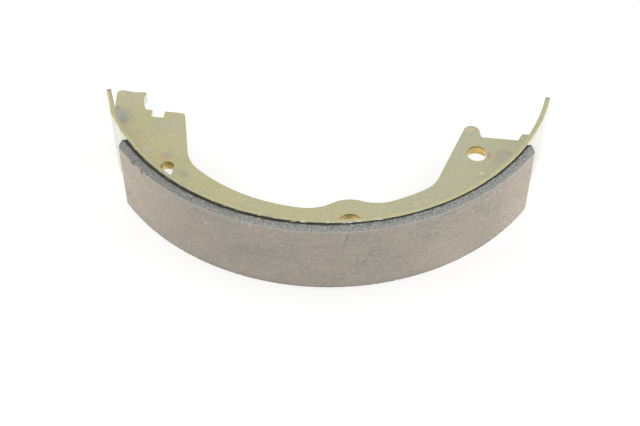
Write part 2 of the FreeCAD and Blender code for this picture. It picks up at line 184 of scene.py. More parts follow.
def math_of(tree, operation, first, second=0.0, third=0.0, clamp=False):
    """The result of one sum on numbers."""
    inputs = {0: first, 1: second, 2: third}
    return add_node(tree, "ShaderNodeMath", inputs, operation=operation, use_clamp=clamp).outputs[0]


def times(tree, first, second):
    """One number multiplied by another."""
    return math_of(tree, "MULTIPLY", first, second)


def remap(tree, value, low, high, start=0.0, end=1.0):
    """A value taken from one range to another with soft ends."""
    inputs = {0: value, 1: low, 2: high, 3: start, 4: end}
    return add_node(tree, "ShaderNodeMapRange", inputs, interpolation_type="SMOOTHSTEP").outputs[0]


def mixed(tree, share, first, second, blend="MIX"):
    """One colour mixed into another by a share."""
    colours = [c if isinstance(c, bpy.types.NodeSocket) else (*c, 1.0) for c in (first, second)]
    inputs = {0: share, 6: colours[0], 7: colours[1]}
    node = add_node(tree, "ShaderNodeMix", inputs, data_type="RGBA", blend_type=blend)
    return node.outputs[2]


def shaded_by(tree, colour, level):
    """A colour made darker or lighter by a level around 1."""
    grey = add_node(tree, "ShaderNodeCombineColor", {0: level, 1: level, 2: level}).outputs[0]
    return mixed(tree, 1.0, colour, grey, "MULTIPLY")


def vector_of(tree, operation, first, second=(0.0, 0.0, 0.0)):
    """The result of one sum on vectors."""
    inputs = {0: first, 1: second}
    return add_node(tree, "ShaderNodeVectorMath", inputs, operation=operation).outputs[0]


def scaled(tree, vector, factor):
    """A vector made longer or shorter by a factor."""
    inputs = {0: vector, "Scale": factor}
    return add_node(tree, "ShaderNodeVectorMath", inputs, operation="SCALE").outputs[0]


def joined(tree, x, y, z=0.0):
    """A vector from its three numbers."""
    return add_node(tree, "ShaderNodeCombineXYZ", {0: x, 1: y, 2: z}).outputs[0]


def parted(tree, vector):
    """The three numbers of a vector."""
    return add_node(tree, "ShaderNodeSeparateXYZ", {0: vector}).outputs


def new_group(name, wanted, given):
    """A shader node group with named inputs and outputs, and the sockets at its two ends."""
    group = bpy.data.node_groups.new(name, "ShaderNodeTree")
    for socket, kind, start in wanted:
        made = group.interface.new_socket(socket, in_out="INPUT", socket_type=kind)
        if kind == NUMBER:
            made.default_value = start
    for socket, kind in given:
        group.interface.new_socket(socket, in_out="OUTPUT", socket_type=kind)
    return group, group.nodes.new("NodeGroupInput").outputs, group.nodes.new("NodeGroupOutput").inputs


def group_node(tree, group, inputs=None):
    """The outputs of a node that places a group in a material."""
    return add_node(tree, "ShaderNodeGroup", inputs, node_tree=group).outputs


# Friction lining: a ground outer face, bevelled ends, worn edges, chips and pits.
EDGE_CUTS = (0.0, 0.05, 0.11, 0.18, 0.27, 0.38, 0.52, 0.7, 0.95, 1.3, 1.75)
END_CUTS = (0.0, 0.08, 0.18, 0.32, 0.6, 1.1, 1.65, 2.2, LEAD_BEVEL)
LENGTH_CELL = 0.46
WIDTH_CELL = 0.7
THICK_CELL = 0.4
LINING_INNER = GROUND_RADIUS - LINING_THICK
LINING_SPAN = LINING_ANGLES[1] - LINING_ANGLES[0]
LINING_LENGTH = math.radians(LINING_SPAN) * GROUND_RADIUS
BEVEL_CROWN = 1.3
EDGE_WEAR = 0.13
SMALL_CHIPS = 70
CHIP_SEED = 41

# The height from which a chip also bites into the lining's side.
CHIP_EDGE = 14.0

# Angle, height, radius and depth of each chip in the ground face and its edges.
CHIPS = [
    (-56.4, 15.0, 0.95, 0.75),
    (-57.4, 14.2, 0.6, 0.45),
    (-53.0, 14.4, 0.8, 0.6),
    (-51.4, 15.0, 0.5, 0.35),
    (28.2, 11.1, 0.55, 0.5),
    (28.0, 10.4, 0.35, 0.35),
    (1.9, -1.5, 0.5, 0.4),
    (9.9, -14.6, 0.8, 0.3),
    (-7.8, -14.6, 0.6, 0.25),
    (-4.4, -14.6, 0.6, 0.25),
    (48.4, 4.7, 0.6, 0.45),
    (49.4, -9.8, 0.55, 0.4),
    (40.5, -14.7, 0.7, 0.25),
    (-60.5, -6.5, 0.6, 0.35),
]
chance = random.Random(CHIP_SEED)
for _ in range(SMALL_CHIPS):
    side = chance.choice((-HALF_WIDTH, -HALF_WIDTH, HALF_WIDTH))
    CHIPS.append((
        chance.uniform(*LINING_ANGLES),
        side,
        chance.uniform(0.25, 0.45),
        chance.uniform(0.04, 0.13),
    ))


def arc_place(angle):
    """The distance along the lining's ground face from its lever end to an angle."""
    return math.radians(angle - LINING_ANGLES[0]) * GROUND_RADIUS


chip_places = [(arc_place(angle), height, radius, depth) for angle, height, radius, depth in CHIPS]
chips_near = {}
for chip in chip_places:
    for strip in range(int(chip[0] - chip[2]) - 1, int(chip[0] + chip[2]) + 2):
        chips_near.setdefault(strip, []).append(chip)


def lining_point(along, across, through):
    """A point of the lining's skin from its place in the block, and how whole the ground face is."""
    end = min(along, LINING_LENGTH - along)
    cut = LEAD_BEVEL * max(0.0, 1.0 - end / LEAD_BEVEL) ** BEVEL_CROWN
    thick_here = LINING_THICK - cut
    wear = EDGE_WEAR + 0.06 * ripple(along * 0.3, across * 0.1, 3.0)
    wear += 0.16 * max(0.0, ripple(along * 0.9, across * 0.2, 8.0))
    point = rounded(
        Vector((along, across, through)),
        (LINING_LENGTH, 2 * HALF_WIDTH, LINING_THICK),
        wear,
    )
    along, height, through = point.x, point.y - HALF_WIDTH, point.z * thick_here / LINING_THICK
    for centre, level, radius, depth in chips_near.get(int(along), ()):
        reach = Vector((along - centre, height - level, (thick_here - through) * 0.9)).length
        reach *= 1.0 + 0.35 * ripple(along * 2.1, height * 2.1, centre)
        if reach < radius:
            bite = depth * math.sqrt(1.0 - (reach / radius) ** 2)
            at_edge = abs(level) > CHIP_EDGE
            through -= bite * (0.5 if at_edge else 1.0)
            if at_edge:
                height -= math.copysign(0.8 * bite, level)
    removed = thick_here - through
    ground = 1.0 - ease(removed, 0.03, 0.12)
    angle = LINING_ANGLES[0] + math.degrees(along / GROUND_RADIUS)
    return on_shoe(angle, height, LINING_INNER + through), (ground,)


lining_lines = (
    cuts(LINING_LENGTH, LENGTH_CELL, END_CUTS),
    cuts(2 * HALF_WIDTH, WIDTH_CELL, EDGE_CUTS),
    cuts(LINING_THICK, THICK_CELL, EDGE_CUTS[:9]),
)
lining = closed_block("ground_lining", lining_lines, lining_point, ("ground",), sharp=38)


# Table and adhesive line: strips rolled round the drum's axis.
GEOMETRY = "NodeSocketGeometry"
COUNT = "NodeSocketInt"
MATERIAL = "NodeSocketMaterial"
STRIP_INPUTS = (
    ("Inner Radius", NUMBER),
    ("Thickness", NUMBER),
    ("Width", NUMBER),
    ("Start Angle", NUMBER),
    ("End Angle", NUMBER),
    ("Edge Radius", NUMBER),
    ("Tip Corner", NUMBER),
    ("Raggedness", NUMBER),
    ("Ragged Pitch", NUMBER),
    ("Tip Lean", NUMBER),
    ("Tip Bulge", NUMBER),
    ("Points Along", COUNT),
    ("Points Across", COUNT),
    ("Points Through", COUNT),
    ("Seed", NUMBER),
    ("Material", MATERIAL),
)


def strip_block(tree, wanted, size):
    """A block's skin from 0 to its size, with its points closer together near the edges."""
    cube = add_node(tree, "GeometryNodeMeshCube", {
        "Size": (2.0, 2.0, 2.0),
        "Vertices X": wanted["Points Along"],
        "Vertices Y": wanted["Points Across"],
        "Vertices Z": wanted["Points Through"],
    }).outputs["Mesh"]
    even = add_node(tree, "GeometryNodeInputPosition").outputs[0]
    crowd = vector_of(tree, "SUBTRACT", (2.0, 2.0, 2.0), vector_of(tree, "ABSOLUTE", even))
    spread = vector_of(tree, "MULTIPLY", even, crowd)
    half = vector_of(tree, "MULTIPLY", size, (0.5, 0.5, 0.5))
    return cube, vector_of(tree, "ADD", vector_of(tree, "MULTIPLY", spread, half), half)


def round_block(tree, point, size, radius):
    """Draws the points of a block's skin in, so that its edges get the radius."""
    inset = joined(tree, radius, radius, radius)
    far_side = vector_of(tree, "SUBTRACT", size, inset)
    core = vector_of(tree, "MAXIMUM", inset, vector_of(tree, "MINIMUM", point, far_side))
    outward = vector_of(tree, "NORMALIZE", vector_of(tree, "SUBTRACT", point, core))
    return vector_of(tree, "ADD", core, vector_of(tree, "MULTIPLY", outward, inset))


def strip_tree():
    """Geometry nodes for a strip with rounded edges and tips, rolled round the drum's axis."""
    tree = bpy.data.node_groups.new("Rolled strip", "GeometryNodeTree")
    for name, kind in STRIP_INPUTS:
        tree.interface.new_socket(name, in_out="INPUT", socket_type=kind)
    tree.interface.new_socket("Geometry", in_out="OUTPUT", socket_type=GEOMETRY)
    wanted = tree.nodes.new("NodeGroupInput").outputs
    given = tree.nodes.new("NodeGroupOutput").inputs

    span = math_of(tree, "SUBTRACT", wanted["End Angle"], wanted["Start Angle"])
    outer = math_of(tree, "ADD", wanted["Inner Radius"], wanted["Thickness"])
    length = times(tree, math_of(tree, "RADIANS", span), outer)
    size = joined(tree, length, wanted["Width"], wanted["Thickness"])
    block, point = strip_block(tree, wanted, size)
    place = parted(tree, round_block(tree, point, size, wanted["Edge Radius"]))

    share = math_of(tree, "DIVIDE", place[0], length)
    angle = math_of(tree, "MULTIPLY_ADD", share, span, wanted["Start Angle"])
    from_end = math_of(tree, "MINIMUM", place[0], math_of(tree, "SUBTRACT", length, place[0]))
    corner = wanted["Tip Corner"]
    short = math_of(tree, "MAXIMUM", math_of(tree, "SUBTRACT", corner, from_end), 0.0)
    square = times(tree, corner, corner)
    left = math_of(tree, "SUBTRACT", square, times(tree, short, short))
    cut = math_of(tree, "SUBTRACT", corner, math_of(tree, "SQRT", math_of(tree, "MAXIMUM", left, 0.0)))

    half = times(tree, wanted["Width"], 0.5)
    height = math_of(tree, "SUBTRACT", place[1], half)
    away = math_of(tree, "ABSOLUTE", height)
    at_edge = remap(tree, math_of(tree, "SUBTRACT", half, away), 0.0, 1.4, 1.0, 0.0)
    where = math_of(tree, "DIVIDE", place[0], wanted["Ragged Pitch"])
    side = math_of(tree, "SIGN", height)
    inputs = {
        "Vector": joined(tree, where, side),
        "W": wanted["Seed"],
        "Scale": 1.0,
        "Detail": 2.0,
        "Roughness": 0.6,
    }
    pattern = add_node(tree, "ShaderNodeTexNoise", inputs, noise_dimensions="4D").outputs[0]
    ragged = math_of(tree, "MAXIMUM", math_of(tree, "MULTIPLY_ADD", pattern, 2.0, -0.9), 0.0)
    ragged = times(tree, times(tree, ragged, wanted["Raggedness"]), at_edge)
    drawn_in = math_of(tree, "DIVIDE", math_of(tree, "ADD", cut, ragged), half)
    height = times(tree, height, math_of(tree, "SUBTRACT", 1.0, drawn_in))

    lean = times(tree, remap(tree, angle, *LEAN_ANGLES), wanted["Tip Lean"])
    rise = remap(tree, angle, *BULGE_RISE)
    bulge = times(tree, rise, remap(tree, angle, *BULGE_FALL, 1.0, 0.0))
    bulge = times(tree, bulge, wanted["Tip Bulge"])
    radius = math_of(tree, "ADD", wanted["Inner Radius"], place[2])
    radius = math_of(tree, "ADD", math_of(tree, "SUBTRACT", radius, lean), bulge)

    turn = math_of(tree, "RADIANS", angle)
    x = times(tree, math_of(tree, "SINE", turn), radius)
    y = times(tree, math_of(tree, "COSINE", turn), times(tree, radius, -1.0))
    rolled = vector_of(tree, "MULTIPLY", joined(tree, x, y, height), (MM, MM, MM))
    rim = remap(tree, math_of(tree, "SUBTRACT", half, away), 0.2, 0.45, 1.0, 0.0)

    strip = block
    for kind, inputs in (
        ("GeometryNodeStoreNamedAttribute", {"Name": "rim", "Value": rim}),
        ("GeometryNodeSetPosition", {"Position": rolled}),
        ("GeometryNodeSetShadeSmooth", {}),
        ("GeometryNodeRealizeInstances", {}),
        ("GeometryNodeSetMaterial", {"Material": wanted["Material"]}),
    ):
        strip = add_node(tree, kind, {"Geometry": strip, **inputs}).outputs[0]
    tree.links.new(strip, given["Geometry"])
    return tree


def rolled_strip(name, tree, sizes, sharp):
    """A strip made by the tree with these sizes, as a plain mesh."""
    piece = bpy.data.objects.new(name, bpy.data.meshes.new(name))
    bpy.context.scene.collection.objects.link(piece)
    rolling = piece.modifiers.new("Rolled strip", "NODES")
    rolling.node_group = tree
    sockets = {item.name: item.identifier for item in tree.interface.items_tree}
    for socket, value in sizes.items():
        rolling[sockets[socket]] = value
    bpy.context.view_layer.update()
    finished = piece.evaluated_get(bpy.context.evaluated_depsgraph_get())
    mesh = bpy.data.meshes.new_from_object(finished)
    piece.modifiers.remove(rolling)
    piece.data = mesh
    mesh.set_sharp_from_angle(angle=math.radians(sharp))
    return piece


# Shoe web: the stamped plate, its edges drawn over on the punch side and torn on the other.
RIM_STEP = 0.55
FACE_STEP = 0.95
SMALLEST_SIDE = 0.004
FACE_RIPPLE = 0.012

# No two points of a hole's rim are further apart than this.
HOLE_REACH = 14.0

# Sides share an arc where their lengths differ by less than this share and they turn by less
# than this angle. The arc is then drawn in turns of no more than this step.
ALIKE_SIDES = 0.03
SHARPEST_ARC = 50
ARC_STEP = 11

# Keeps the edge's inner rows from reaching too far in at sharp corners.
SHARPEST_MITRE = 0.6

# The even grid of points in the web's faces: its lower left corner, length and depth.
GRID_START = -90.0
GRID_LENGTH = 180.0
GRID_DEPTH = 120.0

# How much of the drawn-over edge the holes have, and how far from the edge and how high the rim,
# the bores and the sheared wall lie.
HOLE_DRAW = 0.55
RIM_INSETS = (0.05, 0.45)
BORE_TOP = 1.85
WALL_INSET = 0.12
EDGE_MARKS = ("rim", "bore", "wall")

# How far the plate's edge lies inside the outline at each height.
EDGE_FORM = (
    (0.62, 2.0),
    (0.4, 2.0),
    (0.26, 1.975),
    (0.15, 1.91),
    (0.07, 1.81),
    (0.02, 1.66),
    (0.0, 1.45),
    (0.0, 0.5),
    (0.02, -0.25),
    (0.07, -0.6),
    (0.09, -1.4),
    (0.1, -1.75),
    (0.16, -1.93),
    (0.27, -2.0),
    (0.5, -2.0),
)


def wall_rims(node):
    """The outline and the holes of a flat plate as closed rows of (x, y) in millimetres."""
    work = bmesh.new()
    work.from_mesh(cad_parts[node].data)
    bmesh.ops.remove_doubles(work, verts=work.verts, dist=1e-6)
    work.normal_update()
    walls = {face for face in work.faces if abs(face.normal.z) < 0.1}
    neighbours = {}
    for edge in work.edges:
        start, end = edge.verts
        at_wall = sum(face in walls for face in edge.link_faces) == 1
        if at_wall and start.co.z + end.co.z > 0.0:
            neighbours.setdefault(start, []).append(end)
            neighbours.setdefault(end, []).append(start)
    rims = []
    while neighbours:
        first = next(iter(neighbours))
        row = [first]
        here = first
        before = None
        while True:
            ahead = [v for v in neighbours[here] if v is not before]
            before, here = here, ahead[0]
            if here is first:
                break
            row.append(here)
        for vertex in row:
            del neighbours[vertex]
        points = [Vector((v.co.x, v.co.y)) / MM for v in row]
        kept = [p for i, p in enumerate(points) if (p - points[i - 1]).length > SMALLEST_SIDE]
        rims.append(kept)
    work.free()
    return rims


def area_of(row):
    """The area inside a closed row of points, above zero where it runs anticlockwise."""
    return sum(row[i - 1].cross(row[i]) for i in range(len(row))) / 2


def turn_between(first, second):
    """The angle from one direction to another, above zero to the left."""
    return math.atan2(first.cross(second), first.dot(second))


def fine_rim(row, step):
    """A closed row at a finer step, with the curve given back to sides that share an arc."""
    count = len(row)
    sides = [row[(i + 1) % count] - row[i] for i in range(count)]
    turns = [turn_between(sides[i - 1], sides[i]) for i in range(count)]
    fine = []
    for i, side in enumerate(sides):
        length = side.length
        bends = []
        for neighbour, turn in ((i - 1, turns[i]), ((i + 1) % count, turns[(i + 1) % count])):
            alike = abs(sides[neighbour].length - length) < ALIKE_SIDES * length
            if alike and abs(turn) < math.radians(SHARPEST_ARC):
                bends.append(turn)
        bend = min(bends, key=abs) if bends else 0.0
        parts = max(1, math.ceil(length / step), math.ceil(abs(bend) / math.radians(ARC_STEP)))
        ahead = side.normalized()
        left = Vector((-ahead.y, ahead.x))
        for part in range(parts):
            share = part / parts
            if abs(bend) < 1e-4:
                fine.append(row[i] + side * share)
                continue
            radius = length / (2 * math.sin(bend / 2))
            here = bend * share - bend / 2
            forward = radius * (math.sin(here) + math.sin(bend / 2))
            aside = radius * (math.cos(bend / 2) - math.cos(here))
            fine.append(row[i] + ahead * forward + left * aside)
    return fine


def inward(row):
    """The direction into the plate at each point of a row that has the plate on its left."""
    found = []
    count = len(row)
    for i in range(count):
        before = (row[i] - row[i - 1]).normalized()
        after = (row[(i + 1) % count] - row[i]).normalized()
        middle = (before + after).normalized()
        across = Vector((-middle.y, middle.x))
        found.append(across / max(SHARPEST_MITRE, middle.dot(after)))
    return found


def against_table(point):
    """A point of the web, moved in where the table's free end leans on it."""
    angle = math.degrees(math.atan2(point.x, -point.y))
    limit = TABLE_INNER - max(0.0, tip_bend(angle))
    if point.length > limit:
        return point * (limit / point.length)
    return point


def within(point, ring):
    """Whether a point lies inside a closed row of points."""
    if (point - ring[0]).length > HOLE_REACH:
        return False
    inside = False
    for start, end in zip(ring, ring[1:] + ring[:1]):
        if (start.y > point.y) != (end.y > point.y):
            level = (point.y - start.y) / (end.y - start.y)
            if point.x < start.x + (end.x - start.x) * level:
                inside = not inside
    return inside


# Place, radius and depth of the shallow marks that welding left in the upper face.
WELD_DENTS = (
    (-82.9, -10.6, 3.2, 0.1),
    (61.5, -49.6, 3.6, 0.08),
    (-66.1, -35.4, 2.4, 0.05),
    (-59.7, -44.8, 2.8, 0.05),
)


def face_height(x, y):
    """The height of the web's upper face, a little uneven and pressed in at the welds."""
    height = WEB_HALF - FACE_RIPPLE + FACE_RIPPLE * ripple(x * 0.09, y * 0.09, 1.0)
    for centre_x, centre_y, radius, depth in WELD_DENTS:
        away = math.hypot(x - centre_x, y - centre_y)
        height -= depth * (1.0 - ease(away, radius * 0.55, radius))
    return height


def plate_rows():
    """The web's outline, then its holes, as fine rows of points with the plate on their left."""
    rows = []
    rims = sorted(wall_rims("shoe_web"), key=lambda row: -abs(area_of(row)))
    for index, row in enumerate(rims):
        wanted = 1 if index == 0 else -1
        if area_of(row) * wanted < 0:
            row.reverse()
        rows.append(fine_rim(row, RIM_STEP))
    return rows


def edge_rings(shape, row, hole):
    """The rings of points down the plate's edge along one row, joined by faces."""
    rim_mark, bore_mark, wall_mark = [shape.verts.layers.float[mark] for mark in EDGE_MARKS]
    draw = HOLE_DRAW if hole else 1.0
    into = inward(row)
    rings = []
    for inset, height in EDGE_FORM:
        ring = []
        for point, direction in zip(row, into):
            uneven = 1.0 + 0.25 * ripple(point.x * 0.4, point.y * 0.4, height)
            here = against_table(point + direction * inset * draw * uneven)
            level = height
            if height >= WEB_HALF:
                level = face_height(here.x, here.y)
            vertex = shape.verts.new((here.x * MM, here.y * MM, level * MM))
            at_rim = RIM_INSETS[0] < inset < RIM_INSETS[1] and height > 1.0
            vertex[rim_mark] = 1.0 if at_rim else 0.0
            vertex[bore_mark] = 1.0 if hole and height < BORE_TOP else 0.0
            vertex[wall_mark] = 1.0 if not hole and inset < WALL_INSET else 0.0
            ring.append(vertex)
        rings.append(ring)
    for ring, after in zip(rings, rings[1:]):
        for i in range(len(row)):
            j = (i + 1) % len(row)
            shape.faces.new((ring[i], ring[j], after[j], after[i]))
    return rings


def face_grid(rim_points):
    """An even grid of points over the shoe, without those close to the rims."""
    cells = {}
    for point in rim_points:
        cells.setdefault((round(point.x), round(point.y)), []).append(point)
    row_height = FACE_STEP * math.sqrt(0.75)
    clear = 0.55 * FACE_STEP
    grid = []
    for line in range(int(GRID_DEPTH / row_height)):
        y = GRID_START + line * row_height
        for column in range(int(GRID_LENGTH / FACE_STEP)):
            x = GRID_START + (column + 0.5 * (line % 2)) * FACE_STEP
            near = [
                point
                for step_x in (-1, 0, 1)
                for step_y in (-1, 0, 1)
                for point in cells.get((round(x) + step_x, round(y) + step_y), ())
            ]
            if all(math.hypot(point.x - x, point.y - y) >= clear for point in near):
                grid.append(Vector((x, y)))
    return grid


def web_plate():
    """The stamped web: an edge along its outline and each hole, and two faces between them."""
    shape = bmesh.new()
    for mark in EDGE_MARKS:
        shape.verts.layers.float.new(mark)
    upper = []
    lower = []
    flat_points = []
    sides = []
    holes = []
    for index, row in enumerate(plate_rows()):
        rings = edge_rings(shape, row, index > 0)
        start = len(flat_points)
        count = len(row)
        upper += rings[0]
        lower += rings[-1]
        flat_ring = [Vector((v.co.x, v.co.y)) / MM for v in rings[0]]
        flat_points += flat_ring
        if index:
            holes.append(flat_ring)
        sides += [(start + i, start + (i + 1) % count) for i in range(count)]

    edge_count = len(flat_points)
    flat_points += face_grid(flat_points)
    places, _, faces, sources = delaunay_2d_cdt(flat_points, sides, [], 1, 1e-5)[:4]
    top = {}
    bottom = {}
    for index, source in enumerate(sources):
        edge_source = [s for s in source if s < edge_count]
        if edge_source:
            top[index] = upper[edge_source[0]]
            bottom[index] = lower[edge_source[0]]
    for face in faces:
        middle = sum((places[i] for i in face), Vector((0.0, 0.0))) / len(face)
        if any(within(middle, ring) for ring in holes):
            continue
        for index in face:
            if index not in top:
                x, y = places[index]
                top[index] = shape.verts.new((x * MM, y * MM, face_height(x, y) * MM))
                bottom[index] = shape.verts.new((x * MM, y * MM, -WEB_HALF * MM))
        shape.faces.new([top[i] for i in face])
        shape.faces.new([bottom[i] for i in reversed(face)])
    return finish_mesh(shape, "stamped_web", sharp=42)


web = web_plate()


# Materials. Sizes in them are in millimetres as well.
def place_group():
    """Where a point lies on the shoe, flat as (x, y, z) and curved as (along, across, outwards)."""
    sockets = (
        ("Flat", VECTOR),
        ("Curved", VECTOR),
        ("Along", NUMBER),
        ("Across", NUMBER),
        ("Outwards", NUMBER),
    )
    group, _, given = new_group("Shoe place", (), sockets)
    coordinates = add_node(group, "ShaderNodeTexCoord").outputs["Object"]
    flat = scaled(group, coordinates, 1.0 / MM)
    x, y, across = parted(group, flat)
    outwards = math_of(group, "SQRT", math_of(group, "MULTIPLY_ADD", y, y, times(group, x, x)))
    turn = math_of(group, "ARCTAN2", x, times(group, y, -1.0))
    along = times(group, turn, PATTERN_RADIUS)
    curved = joined(group, along, across, outwards)
    for (socket, _), value in zip(sockets, (flat, curved, along, across, outwards)):
        group.links.new(value, given[socket])
    return group


def mottle_group():
    """Soft uneven patches of a given size, between a low and a high level of noise."""
    sockets = (
        ("Place", VECTOR, None),
        ("Size", NUMBER, 5.0),
        ("Low", NUMBER, 0.4),
        ("High", NUMBER, 0.6),
        ("Seed", NUMBER, 0.0),
    )
    group, wanted, given = new_group("Mottling", sockets, (("Mask", NUMBER),))
    spread = scaled(group, wanted["Place"], math_of(group, "DIVIDE", 1.0, wanted["Size"]))
    inputs = {"Vector": spread, "W": wanted["Seed"], "Scale": 1.0, "Detail": 3.0, "Roughness": 0.55}
    pattern = add_node(group, "ShaderNodeTexNoise", inputs, noise_dimensions="4D").outputs[0]
    group.links.new(remap(group, pattern, wanted["Low"], wanted["High"]), given["Mask"])
    return group


def streak_group():
    """Fine lines along the arc, of a given length and pitch."""
    sockets = (
        ("Place", VECTOR, None),
        ("Length", NUMBER, 12.0),
        ("Pitch", NUMBER, 0.3),
        ("Low", NUMBER, 0.35),
        ("High", NUMBER, 0.65),
    )
    group, wanted, given = new_group("Streaks along the arc", sockets, (("Mask", NUMBER),))
    long_way = math_of(group, "DIVIDE", 1.0, wanted["Length"])
    short_way = math_of(group, "DIVIDE", 1.0, wanted["Pitch"])
    spread = vector_of(group, "MULTIPLY", wanted["Place"], joined(group, long_way, short_way, short_way))
    inputs = {"Vector": spread, "Scale": 1.0, "Detail": 2.0, "Roughness": 0.5}
    pattern = add_node(group, "ShaderNodeTexNoise", inputs).outputs[0]
    group.links.new(remap(group, pattern, wanted["Low"], wanted["High"]), given["Mask"])
    return group


def patch_group():
    """A round, uneven patch, only where the place's third number is above 1."""
    sockets = (
        ("Place", VECTOR, None),
        ("X", NUMBER, 0.0),
        ("Y", NUMBER, 0.0),
        ("Radius", NUMBER, 3.0),
        ("Softness", NUMBER, 0.5),
        ("Unevenness", NUMBER, 0.3),
    )
    group, wanted, given = new_group("Round patch", sockets, (("Mask", NUMBER),))
    x, y, height = parted(group, wanted["Place"])
    ends = {0: joined(group, x, y), 1: joined(group, wanted["X"], wanted["Y"])}
    away = add_node(group, "ShaderNodeVectorMath", ends, operation="DISTANCE").outputs["Value"]
    inputs = {"Vector": wanted["Place"], "Scale": 0.55, "Detail": 3.0}
    pattern = add_node(group, "ShaderNodeTexNoise", inputs).outputs[0]
    swing = times(group, math_of(group, "SUBTRACT", pattern, 0.5), wanted["Unevenness"])
    reach = math_of(group, "DIVIDE", away, wanted["Radius"])
    reach = math_of(group, "MULTIPLY_ADD", swing, 3.0, reach)
    inner = math_of(group, "SUBTRACT", 1.0, wanted["Softness"])
    mask = remap(group, reach, inner, 1.0, 1.0, 0.0)
    upper = math_of(group, "GREATER_THAN", height, 1.0)
    group.links.new(times(group, mask, upper), given["Mask"])
    return group


PLACE = place_group()
MOTTLING = mottle_group()
STREAKS = streak_group()
PATCH = patch_group()


def mottled(tree, place, size, low, high, seed):
    """The mask of the mottling with these values."""
    inputs = {"Place": place, "Size": size, "Low": low, "High": high, "Seed": seed}
    return group_node(tree, MOTTLING, inputs)["Mask"]


def streaked(tree, place, length, pitch, low, high):
    """The mask of the streaks with these values."""
    inputs = {"Place": place, "Length": length, "Pitch": pitch, "Low": low, "High": high}
    return group_node(tree, STREAKS, inputs)["Mask"]


def patched(tree, place, x, y, radius, softness, unevenness):
    """The mask of one round patch with these values."""
    inputs = {
        "Place": place,
        "X": x,
        "Y": y,
        "Radius": radius,
        "Softness": softness,
        "Unevenness": unevenness,
    }
    return group_node(tree, PATCH, inputs)["Mask"]


def new_material(name):
    """An empty material with its output, and the places on the shoe that it reads."""
    material = bpy.data.materials.new(name)
    material.use_nodes = True
    tree = material.node_tree
    tree.nodes.clear()
    output = tree.nodes.new("ShaderNodeOutputMaterial")
    return material, tree, output, group_node(tree, PLACE)


def read_mark(tree, name):
    """A value that the mesh carries at each of its points."""
    return add_node(tree, "ShaderNodeAttribute", attribute_name=name).outputs["Fac"]


# Colours of the plated steel, its stains and the adhesive, and of the painted glare, reflection, glints
# and shade on them.
OLIVE = (0.41, 0.402, 0.205)
KHAKI = (0.455, 0.418, 0.225)
MAUVE_GREY = (0.40, 0.375, 0.275)
GREEN_GREY = (0.39, 0.40, 0.24)
COOL_GREY = (0.415, 0.41, 0.292)
EDGE_OLIVE = (0.44, 0.435, 0.19)
RUBBED_EDGE = (0.50, 0.475, 0.26)
DULL_EDGE = (0.43, 0.415, 0.255)
INNER_EDGE = (0.33, 0.31, 0.16)
DULL_STRIP = (0.34, 0.325, 0.235)
BURR_GLINT = (0.72, 0.72, 0.68)
SHEARED_WALL_GLARE = (0.78, 0.77, 0.66)
OUTER_FACE_REFLECTION = (0.76, 0.755, 0.66)
DEEP_GOLD = (0.95, 0.68, 0.20)
BROWN_GOLD = (0.22, 0.165, 0.045)
TIP_BROWN = (0.23, 0.17, 0.12)
END_DIRT_AND_SHADE = (0.07, 0.045, 0.04)
SQUEEZED_GLUE_AND_SHADE = (0.05, 0.045, 0.03)
BOND_DARK = (0.014, 0.012, 0.008)
BOND_LIGHT = (0.035, 0.03, 0.02)

# How uneven the outlines of the web's marks are.
MARK_UNEVENNESS = 0.3

